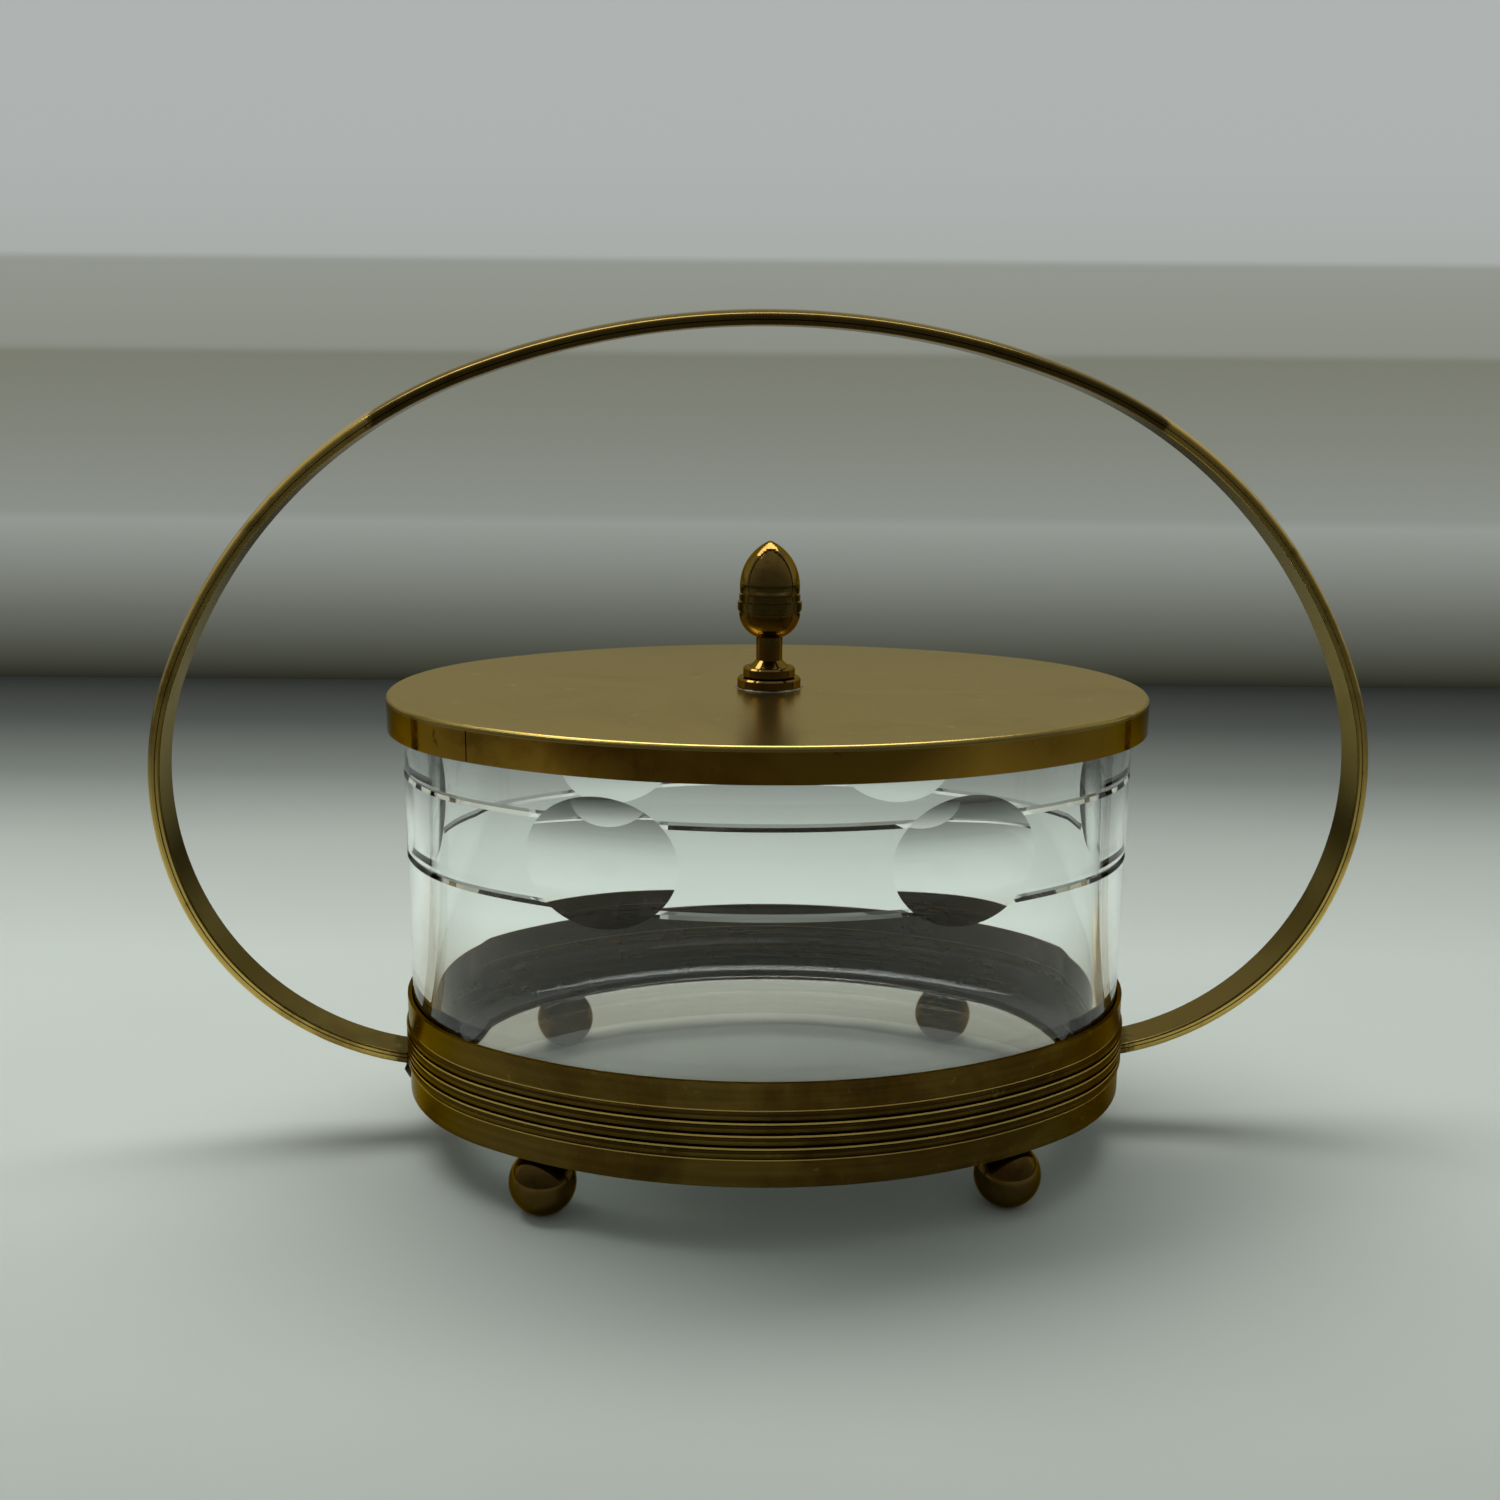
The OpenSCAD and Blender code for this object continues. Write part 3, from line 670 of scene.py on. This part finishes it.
class Wall:
    """The outside of the glass, unrolled: distance round it one way and height the other."""
    def __init__(self, g):
        mm = 1 / MM
        self.inset = HALF_LENGTH - GLASS_FOOT_X
        self.height, self.flare = g.height * mm, g.flare * mm
        self.low, self.high = g.foot_edge * mm, (g.height - g.rim_edge) * mm
        self.cuts = (g.lower_cut * mm, g.upper_cut * mm)
        self.cut_w, self.cut_d = g.cut_width * mm, g.cut_depth * mm
        self.middle = sum(self.cuts) / 2
        self.depth = g.window_depth * mm
        self.wheel = (g.window * mm / 2) ** 2 / (2 * self.depth)
        side = math.asin(g.window_spacing * mm / 2 / (SIDE_RADIUS - self.inset + self.mean_flare()))
        right = math.pi / 2
        self.windows = ((0, 0.0), (1, right - side), (1, right + side), (2, math.pi),
                        (3, 3 * right - side), (3, 3 * right + side))

    def mean_flare(self):
        """How far the wall has leaned out at the windows' height."""
        return self.flare * self.middle / self.height

    def radius(self, base, z):
        """The wall leans out a little: its radius grows in line with the height."""
        return base + self.flare * z / self.height

    def reach(self, base, z):
        """How far out a window's wheel leaves the glass: it is a cylinder with a level axis."""
        rise = z - self.middle
        return base + self.mean_flare() + self.wheel - self.depth - np.sqrt(
            self.wheel ** 2 - rise ** 2)

    def span(self):
        """Lowest and highest point of a window, where the wheel meets the leaning wall."""
        lean, gap = self.flare / self.height, self.wheel - self.depth
        k = 1 + lean ** 2
        root = math.sqrt((gap * lean) ** 2 - k * (gap ** 2 - self.wheel ** 2))
        return (gap * lean - root) / k, (gap * lean + root) / k

    def edge(self, base, count):
        """A window's outline as angles off its middle and heights."""
        low, high = self.span()
        turn = 2 * math.pi * np.arange(count) / count
        z = self.middle + (low + high) / 2 + (high - low) / 2 * np.sin(turn)
        part = np.clip(self.reach(base, z) / self.radius(base, z), -1, 1)
        return np.sign(np.cos(turn)) * np.arccos(part), z

    def place(self, columns, z):
        """Points of the wall with its windows and cut lines, and which window each point is in."""
        x, y, base, angle, _, arc = columns.T
        wall = self.radius(base, z)
        window, near = np.full(len(z), -1), np.full(len(z), 9.0)
        low, high = self.span()
        across, along = wall.copy(), np.zeros(len(z))
        middle_angle = angle.copy()
        rise = (z - self.middle - (low + high) / 2) / ((high - low) / 2)
        for index, (arc_index, middle) in enumerate(self.windows):
            off = angle - middle
            here = (arc == arc_index) & (np.abs(off) < 0.6) & (np.abs(rise) < 2)
            wide = np.arccos(self.reach(base, np.full(len(z), self.middle)) / self.radius(
                base, self.middle))
            near = np.where(here, np.minimum(near, np.hypot(off / wide, rise)), near)
            cut = here & (np.abs(rise) <= 1) & (wall * np.cos(off) > self.reach(base, z) - 1e-9)
            window = np.where(cut, index, window)
            across = np.where(cut, self.reach(base, z), across)
            along = np.where(cut, wall * np.sin(off), along)
            middle_angle = np.where(cut, middle, middle_angle)
        fade = np.clip((near - 1) / FADE, 0, 1)
        groove = sum(np.clip(1 - np.abs(z - h) / (self.cut_w / 2), 0, 1) for h in self.cuts)
        across = np.where(window < 0, across - self.cut_d * groove * fade, across)
        c, s_ = np.cos(middle_angle), np.sin(middle_angle)
        points = np.stack([x + across * c - along * s_, y + across * s_ + along * c, z], 1)
        return points, window, fade


def glass_shape(g):
    """The glass as one closed shell.

    Under, rim, inside and floor are a section carried round the oval. The outer wall is its
    unrolled sheet, in triangles that follow the windows' edges and the cut lines, rolled up."""
    wall = Wall(g)
    mm = 1 / MM
    columns, around = outline(wall.inset, 1.4)
    count = len(columns)
    angle = columns[:, 3]
    inside, run, floor = -g.wall * mm, g.inner_fillet * mm, g.floor * mm
    foot, rim = wall.low, wall.height - wall.high
    turn = np.radians(np.linspace(0, 90, 13))
    # Each row: offset, height, scale towards the middle. Each strip between rows: its two leanings.
    under = [(-foot, 0, s_) for s_ in (0.25, 0.6, 1.0)]
    under.append((wall.flare * foot / wall.height, foot, 1))
    under_lean = [((0, -1), (0, -1))] * 2 + [((1, -1), (1, -1))]
    top = [(wall.flare * wall.high / wall.height, wall.high, 1), (wall.flare - rim, wall.height, 1),
           (inside + rim, wall.height, 1), (inside, wall.height - rim, 1)]
    top_lean = [((1, 1), (1, 1)), ((0, 1), (0, 1)), ((-1, 1), (-1, 1))]
    down = [(inside - run + run * math.cos(t), floor + run - run * math.sin(t), 1) for t in turn]
    down_lean = [((-1, 0), (-1, 0))] + [((-math.cos(a), math.sin(a)), (-math.cos(b), math.sin(b)))
                                        for a, b in zip(turn[:-1], turn[1:])]
    middle = [(inside - run, floor, s_) for s_ in (0.6, 0.25)]
    rows = [under, top + down + middle]
    leans = [under_lean, top_lean + down_lean + [((0, 1), (0, 1))] * 2]
    points, faces, normals, first = [], [], [], []
    step = np.arange(count)
    after = (step + 1) % count
    base = 0
    for part, lean in zip(rows, leans):
        first.append(base)
        for offset, z, scale in part:
            ring = on_outline(columns, offset, z)
            points.append(ring * (scale, scale, 1))
        for j, (a, b) in enumerate(lean):
            low, high = base + j * count, base + (j + 1) * count
            faces.append(np.stack([low + step, low + after, high + after, high + step], 1))
            n0, n1 = facing(angle, *map(float, a)), facing(angle, *map(float, b))
            normals.append(np.stack([n0, n0[after], n1[after], n1], 1))
        base += len(part) * count
    quads, quad_normals = np.concatenate(faces), np.concatenate(normals)
    points.append(np.array([[0.0, 0.0, 0.0], [0.0, 0.0, floor]]))
    fan_low = np.stack([np.full(count, base), after, step], 1)
    last = base - count
    fan_high = np.stack([np.full(count, base + 1), last + step, last + after], 1)
    fans = np.concatenate([fan_low, fan_high])
    fan_normals = np.zeros((2 * count, 3, 3))
    fan_normals[:count, :, 2], fan_normals[count:, :, 2] = -1, 1
    sheet, tris, tri_normals = unrolled_wall(wall, columns, around)
    points = np.concatenate(points + [sheet])
    tris = tris + base + 2
    points, quads, tris, fans = weld(points, quads, tris, fans)
    faces = quads.tolist() + fans.tolist() + tris.tolist()
    normals = np.concatenate([quad_normals.reshape(-1, 3), fan_normals.reshape(-1, 3),
                              tri_normals.reshape(-1, 3)])
    return points, faces, normals


def weld(points, *face_sets):
    """Joins points that lie on each other, to a ten-thousandth of a millimetre."""
    keys = np.round(points * 1e4).astype(np.int64)
    _, keep, back = np.unique(keys, axis=0, return_index=True, return_inverse=True)
    back = back.reshape(-1)
    return (points[keep], *(back[f] for f in face_sets))


def snap(values, marks):
    """Values that lie within a thousandth of a mark, moved onto it."""
    marks = np.sort(marks)
    at = np.clip(np.searchsorted(marks, values), 1, len(marks) - 1)
    best = np.where(values - marks[at - 1] < marks[at] - values, marks[at - 1], marks[at])
    return np.where(np.abs(values - best) < 1e-3, best, values)


def unrolled_wall(wall, columns, around):
    """The outer wall's triangles: points of the sheet, corners and the direction at each corner.

    The sheet's rows stand wide below the windows and close beside them. Rows that come too near a
    cut line's edge, and points that come too near a window's edge, are left out."""
    low_rows, window_rows, top_row = np.linspace(8, 40, 6), np.arange(42.0, 68.0, 1.3), 70.0
    row_gap, edge_gap, edge_count, tiny = 0.4, 0.035, 144, 1e-5
    distance = np.append(columns[:, 4], around)
    lines = sorted(h + k * wall.cut_w / 2 for h in wall.cuts for k in (-1, 0, 1))
    heights = np.unique(np.round(np.concatenate([
        [wall.low, wall.high], lines, low_rows, window_rows, [top_row]]), 6))
    to_line = np.abs(heights[:, None] - np.round(lines, 6)).min(1)
    clear = [h for h, gap in zip(heights, to_line)
             if h in (wall.low, wall.high) or gap < tiny or gap > row_gap]
    s_, z = np.meshgrid(distance, clear)
    grid = np.stack([s_.ravel(), z.ravel()], 1)
    rings = []
    for arc_index, middle in wall.windows:
        arc = columns[columns[:, 5] == arc_index]
        base, start = arc[0, 2], arc[0, 4]
        off, height = wall.edge(base, edge_count)
        rings.append(np.stack([start + base * (middle + off - arc[0, 3]), height], 1))
    keep = np.ones(len(grid), bool)
    for ring in rings:
        centre = (ring.max(0) + ring.min(0)) / 2
        half = (ring.max(0) - ring.min(0)) / 2
        near = np.hypot(*((grid - centre) / half).T)
        keep &= np.abs(near - 1) > edge_gap
    keep |= (grid[:, 0] < 1e-9) | (grid[:, 0] > around - 1e-9)
    width = len(distance)
    edges = []
    kept = np.cumsum(keep) - 1
    for j, h in enumerate(clear):
        if h in (clear[0], clear[-1]) or min(abs(h - v) for v in lines) < tiny:
            row = np.flatnonzero(keep[j * width:(j + 1) * width]) + j * width
            edges.append(np.stack([kept[row[:-1]], kept[row[1:]]], 1))
    flat = grid[keep]
    at = len(flat)
    for ring in rings:
        loop = at + np.arange(len(ring))
        edges.append(np.stack([loop, np.roll(loop, -1)], 1))
        at += len(ring)
    flat = np.concatenate([flat] + rings)
    made = delaunay_2d_cdt([Vector(p) for p in flat.tolist()], np.concatenate(edges).tolist(), [],
                           0, 1e-7, False)
    flat, tris = np.array([tuple(v) for v in made[0]]), np.array(made[2])
    flat = np.stack([snap(flat[:, 0], distance), snap(flat[:, 1], np.array(clear))], 1)
    a, b, c = (flat[tris[:, k]] for k in range(3))
    area = (b[:, 0] - a[:, 0]) * (c[:, 1] - a[:, 1]) - (b[:, 1] - a[:, 1]) * (c[:, 0] - a[:, 0])
    tris[area < 0] = tris[area < 0][:, ::-1]
    tris = tris[np.abs(area) > 1e-9]
    flat[flat[:, 0] >= around - 1e-6, 0] = 0.0
    column = np.searchsorted([arc[0, 4] for arc in (columns[columns[:, 5] == k] for k in range(4))],
                             flat[:, 0] + 1e-9, side="right") - 1
    firsts = np.array([columns[columns[:, 5] == k][0] for k in range(4)])[column]
    full = firsts.copy()
    full[:, 3] = firsts[:, 3] + (flat[:, 0] - firsts[:, 4]) / firsts[:, 2]
    points, window, fade = wall.place(full, flat[:, 1])
    # A face lies in a window if its middle does; the corners then take the wheel's direction.
    centre = full[tris].mean(1)
    centre[:, :3], centre[:, 5] = full[tris[:, 0], :3], full[tris[:, 0], 5]
    same = full[tris][:, :, 5]
    _, inside, _ = wall.place(centre, flat[tris, 1].mean(1))
    z, turned = flat[tris, 1], full[tris][:, :, 3]
    middle_angles = np.array([m for _, m in wall.windows])
    rise = z - wall.middle
    slope = rise / np.sqrt(wall.wheel ** 2 - np.clip(np.abs(rise), 0, wall.wheel * 0.9) ** 2)
    in_window = (inside >= 0)[:, None] & (same == same[:, :1])
    angle = np.where(in_window, middle_angles[np.maximum(inside, 0)][:, None], turned)
    middle_z = z.mean(1)
    pitch = 2 * wall.cut_d / wall.cut_w
    lean = np.full(z.shape, -wall.flare / wall.height)
    for h in wall.cuts:
        for side in (-1, 1):
            on = (side * (middle_z - h) > 0) & (side * (middle_z - h) < wall.cut_w / 2)
            lean = np.where(on[:, None], -side * pitch * fade[tris].mean(1)[:, None], lean)
    lean = np.where(in_window, -slope, lean)
    size = np.sqrt(1 + lean ** 2)
    normals = np.stack([np.cos(angle) / size, np.sin(angle) / size, lean / size], 2)
    return points, tris, normals


# ---- stage -------------------------------------------------------------------------------------

def plane(name, corners, material):
    """A flat four-sided sheet."""
    mesh = bpy.data.meshes.new(name)
    mesh.from_pydata([tuple(c) for c in corners], [], [(0, 1, 2, 3)])
    sheet = bpy.data.objects.new(name, mesh)
    mesh.materials.append(material)
    bpy.context.scene.collection.objects.link(sheet)
    return sheet


def lamp(name, place, aim, size, power, colour, shines=True):
    """A soft rectangular lamp turned towards a point; metal shows it only if it shines."""
    data = bpy.data.lights.new(name, "AREA")
    data.shape, data.size, data.size_y, data.energy, data.color = "RECTANGLE", *size, power, colour
    light = bpy.data.objects.new(name, data)
    light.location = place
    light.rotation_euler = (Vector(aim) - Vector(place)).to_track_quat("-Z", "Y").to_euler()
    light.visible_glossy = shines
    bpy.context.scene.collection.objects.link(light)
    return light


WALL_TOP = 0.4  # the height that the backdrop's bands are given as shares of
SIDE_START = 0.2  # how far to the side the room begins to darken


def side_dark(tree, place, seen):
    """A shade that the glass sees far to the left and right, where the room is dark."""
    x = wire(tree, "ShaderNodeSeparateXYZ", {0: place}).outputs[0]
    far = above(tree, sums(tree, "ABSOLUTE", x), SIDE_START, 5.0)
    return sums(tree, "MULTIPLY_ADD", sums(tree, "MULTIPLY", far, seen), -0.8, 1.0)


def level(*screen):
    """A colour from its three display levels, out of 255."""
    return tuple(((value / 255 + 0.055) / 1.055) ** 2.4 for value in screen)


def wall_finish():
    """Pale backdrop that glows with painted light in soft level bands, with painted shade at its
    foot; the lamps don't light it.
    """
    material, tree, shader, place = new_material("backdrop")
    z = wire(tree, "ShaderNodeSeparateXYZ", {0: place}).outputs[2]
    height = sums(tree, "DIVIDE", z, WALL_TOP, clamp=True)
    stops = [(0.0, level(40, 40, 32)), (0.0225, level(66, 68, 58)), (0.085, level(103, 106, 98)),
             (0.145, level(132, 136, 130)), (0.196, level(148, 153, 147)),
             (0.208, level(139, 144, 138)), (0.30, level(130, 133, 123)),
             (0.396, level(122, 124, 112)), (0.404, level(139, 142, 132)),
             (0.503, level(146, 150, 142)), (0.511, level(169, 173, 170)),
             (0.62, level(174, 178, 177)), (1.0, level(176, 180, 178))]
    colour = ramp(tree, height, stops, smooth=False)
    # The backdrop glows with this painted colour instead of being lit.
    shader.inputs["Base Color"].default_value = (0, 0, 0, 1)
    shader.inputs["Roughness"].default_value = 1.0
    shader.inputs["Specular IOR Level"].default_value = 0.0
    shader.inputs["Emission Strength"].default_value = 1.0
    seen = wire(tree, "ShaderNodeLightPath").outputs["Is Transmission Ray"]
    colour = blend_colours(tree, 1.0, colour, side_dark(tree, place, seen), "MULTIPLY")
    tree.links.new(colour, shader.inputs["Emission Color"])
    return material


def floor_finish():
    """Pale floor, with painted shade darkening it towards the foot of the backdrop, and painted
    light and shade that only reflections and the glass see.
    """
    s = bpy.context.scene.box_stage
    material, tree, shader, place = new_material("floor")
    turned = wire(tree, "ShaderNodeMapping", {"Vector": place, "Rotation": (0, 0, s.heading)})
    y = wire(tree, "ShaderNodeSeparateXYZ", {0: turned.outputs[0]}).outputs[1]
    away = sums(tree, "DIVIDE", y, s.wall_y, clamp=True)
    # Painted shadow: the floor darkens towards the foot of the backdrop.
    fade = ramp(tree, away, [(0.2, 1.0), (0.42, 0.72), (0.6, 0.34), (0.8, 0.13), (1.0, 0.05)],
                smooth=False)
    mottle = ramp(tree, noise(tree, place, 9.0, 3), [(0.3, 0.97), (0.7, 1.0)])
    path = wire(tree, "ShaderNodeLightPath")
    shine, seen = path.outputs["Is Glossy Ray"], path.outputs["Is Transmission Ray"]
    # Painted shade that only reflections see: metal sees the floor dark in front of the box and
    # beside it.
    near = above(tree, -0.16, y, 5.0)
    x = wire(tree, "ShaderNodeSeparateXYZ", {0: place}).outputs[0]
    beside = above(tree, sums(tree, "ABSOLUTE", x), SIDE_START, 4.0)
    unlit = sums(tree, "MAXIMUM", near, sums(tree, "MULTIPLY", beside, 0.8))
    glossy_painted_shade = sums(tree, "MULTIPLY_ADD", sums(tree, "MULTIPLY", unlit, shine), -0.82, 1.0)
    # Painted light and shade that only the glass sees: the floor brighter behind the box, and
    # darker and warmer under it.
    behind = above(tree, y, 0.05, 12.0)
    glass_painted_light = sums(tree, "MULTIPLY_ADD", sums(tree, "MULTIPLY", seen, behind), 0.45, 1.0)
    under = sums(tree, "MULTIPLY", seen, sums(tree, "SUBTRACT", 1.0, behind))
    glass_painted_shade = blend_colours(tree, under, (1.0, 1.0, 1.0), (0.78, 0.72, 0.64))
    # Painted shade: the floor is darker in front of the box, towards the camera.
    front = above(tree, -0.04, y, 12.0)
    front_painted_shade = sums(tree, "MULTIPLY_ADD", front, -0.18, 1.0)
    colour = fade
    for part in (tuple(s.floor), glass_painted_light, glass_painted_shade, front_painted_shade, side_dark(tree, place, seen), mottle, glossy_painted_shade):
        colour = blend_colours(tree, 1.0, colour, part, "MULTIPLY")
    recolour(tree, shader, colour)
    shader.inputs["Roughness"].default_value = 0.75
    shader.inputs["Specular IOR Level"].default_value = 0.2
    return material


def room_light():
    """The room around the stage: brighter above and behind the box, dimmer in front of it."""
    s = bpy.context.scene.box_stage
    world = bpy.data.worlds.new("room")
    world.use_nodes = True
    bpy.context.scene.world = world
    tree = world.node_tree
    way = wire(tree, "ShaderNodeTexCoord").outputs["Generated"]
    parts = wire(tree, "ShaderNodeSeparateXYZ", {0: way})
    side = sums(tree, "MULTIPLY_ADD", parts.outputs[1], 0.35, 0.5)
    level = sums(tree, "MULTIPLY_ADD", parts.outputs[2], 0.35, side, clamp=True)
    colour = ramp(tree, level, [(0.0, (0.10, 0.10, 0.09)), (0.45, (0.30, 0.31, 0.29)),
                                (1.0, (0.85, 0.90, 0.88))], False)
    back = tree.nodes["Background"]
    tree.links.new(colour, back.inputs["Color"])
    back.inputs["Strength"].default_value = s.sky


# ---- operators ---------------------------------------------------------------------------------

class BOX_OT_stage(bpy.types.Operator):
    """Sets up the floor, the backdrop, the lamps and the camera"""
    bl_idname = "box.stage"
    bl_label = "Stage"

    def execute(self, context):
        s = context.scene.box_stage
        turned = Matrix.Rotation(-s.heading, 3, "Z")
        far, y, top = 2.5, s.wall_y, 1.4
        floor = [(-far, -far, 0), (far, -far, 0), (far, y, 0), (-far, y, 0)]
        wall = [(-far, y, 0), (far, y, 0), (far, y, top), (-far, y, top)]
        plane("floor", [turned @ Vector(c) for c in floor], floor_finish())
        plane("backdrop", [turned @ Vector(c) for c in wall], wall_finish())
        room_light()
        middle = (0, 0, 0.06)
        lamp("key", (-0.1, 0.36, 1.05), middle, (1.3, 0.6), s.key, (1.0, 1.0, 0.98))
        lamp("fill", (0.3, -1.2, 0.8), middle, (0.9, 0.6), s.fill, (1.0, 0.98, 0.95), shines=False)
        data = bpy.data.cameras.new("camera")
        data.lens, data.sensor_width = s.lens, 36.0
        camera = bpy.data.objects.new("camera", data)
        camera.location = (s.camera_x, s.camera_y, s.camera_z)
        tilted = turned @ Matrix.Rotation(math.pi / 2 - s.pitch, 3, "X")
        camera.rotation_euler = (tilted @ Matrix.Rotation(s.roll, 3, "Z")).to_euler()
        context.scene.collection.objects.link(camera)
        context.scene.camera = camera
        context.scene.view_settings.view_transform = "Standard"
        return {"FINISHED"}


class BOX_OT_holder(bpy.types.Operator):
    """Finishes the band, its ledge and the rivets that hold the feet"""
    bl_idname = "box.holder"
    bl_label = "Holder"

    def execute(self, context):
        dress(band_finish(), "gallery_band", "gallery_ledge", "foot_rivets")
        return {"FINISHED"}


class BOX_OT_feet(bpy.types.Operator):
    """Finishes the four ball feet"""
    bl_idname = "box.feet"
    bl_label = "Feet"

    def execute(self, context):
        dress(ball_finish(), "foot_front_left", "foot_front_right", "foot_back_left",
              "foot_back_right")
        return {"FINISHED"}


class BOX_OT_hoop(bpy.types.Operator):
    """Makes the hoop handle and finishes the solder under its ends"""
    bl_idname = "box.hoop"
    bl_label = "Hoop handle"

    def execute(self, context):
        b = brass()
        brass_strip = hoop_finish()
        dress(brass_strip, "handle_hoop")
        points, faces, normals = hoop_shape(context.scene.box_hoop)
        hoop = mesh_piece("hoop_strip", points, faces, normals, "holder",
                          brass_strip)
        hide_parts("handle_hoop")
        dress(solder_finish("old solder", b.old_solder, b.dark), "handle_solder")
        return {"FINISHED"}


class BOX_OT_glass(bpy.types.Operator):
    """Makes the cut glass"""
    bl_idname = "box.glass"
    bl_label = "Glass"

    def execute(self, context):
        points, faces, normals = glass_shape(context.scene.box_glass)
        points[:, 2] += GLASS_LOW.z / MM
        glass = mesh_piece("cut_glass", points, faces, normals, "glass",
                           glass_finish())
        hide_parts("glass_box")
        return {"FINISHED"}


class BOX_OT_lid(bpy.types.Operator):
    """Finishes the lid's plate and rim"""
    bl_idname = "box.lid"
    bl_label = "Lid"

    def execute(self, context):
        dress(lid_finish(), "lid_plate")
        dress(rim_finish(), "lid_rim")
        return {"FINISHED"}


class BOX_OT_finial(bpy.types.Operator):
    """Finishes the finial and its screw, and makes its solder"""
    bl_idname = "box.finial"
    bl_label = "Finial"

    def execute(self, context):
        b = brass()
        dress(turned_finish(), "finial_step", "finial_collar", "finial_cup", "finial_acorn")
        dress(screw_finish(), "finial_screw", "finial_washer", "finial_nut")
        grey = solder_finish("grey solder", b.solder, b.olive)
        dress(grey, "finial_solder")
        points, faces, normals = solder_shape()
        ring = mesh_piece("finial_solder_ring", points, faces, normals, "lid", grey)
        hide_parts("finial_solder")
        return {"FINISHED"}


class BOX_PT_panel(bpy.types.Panel):
    """Lists the pieces of the glass box in the 3D view's sidebar"""
    bl_idname = "BOX_PT_panel"
    bl_label = "Glass box"
    bl_space_type = "VIEW_3D"
    bl_region_type = "UI"
    bl_category = "Glass box"

    def draw(self, context):
        scene = context.scene
        for settings in (scene.box_stage, scene.box_brass, scene.box_hoop, scene.box_glass):
            box = self.layout.box()
            for name in settings.__annotations__:
                box.prop(settings, name)
        for operator in OPERATORS:
            self.layout.operator(operator.bl_idname)


SETTINGS = {"box_brass": BrassSettings, "box_hoop": HoopSettings, "box_glass": GlassSettings,
            "box_stage": StageSettings}
OPERATORS = (BOX_OT_stage, BOX_OT_holder, BOX_OT_feet, BOX_OT_hoop, BOX_OT_glass, BOX_OT_lid,
             BOX_OT_finial)
CLASSES = (*SETTINGS.values(), *OPERATORS, BOX_PT_panel)


def register():
    for cls in CLASSES:
        bpy.utils.register_class(cls)
    for name, cls in SETTINGS.items():
        setattr(bpy.types.Scene, name, bpy.props.PointerProperty(type=cls))


def unregister():
    for name in SETTINGS:
        delattr(bpy.types.Scene, name)
    for cls in reversed(CLASSES):
        bpy.utils.unregister_class(cls)


def main():
    """Builds everything."""
    register()
    for piece in ("stage", "holder", "feet", "hoop", "glass", "lid", "finial"):
        getattr(bpy.ops.box, piece)()


if __name__ == "__main__":
    main()
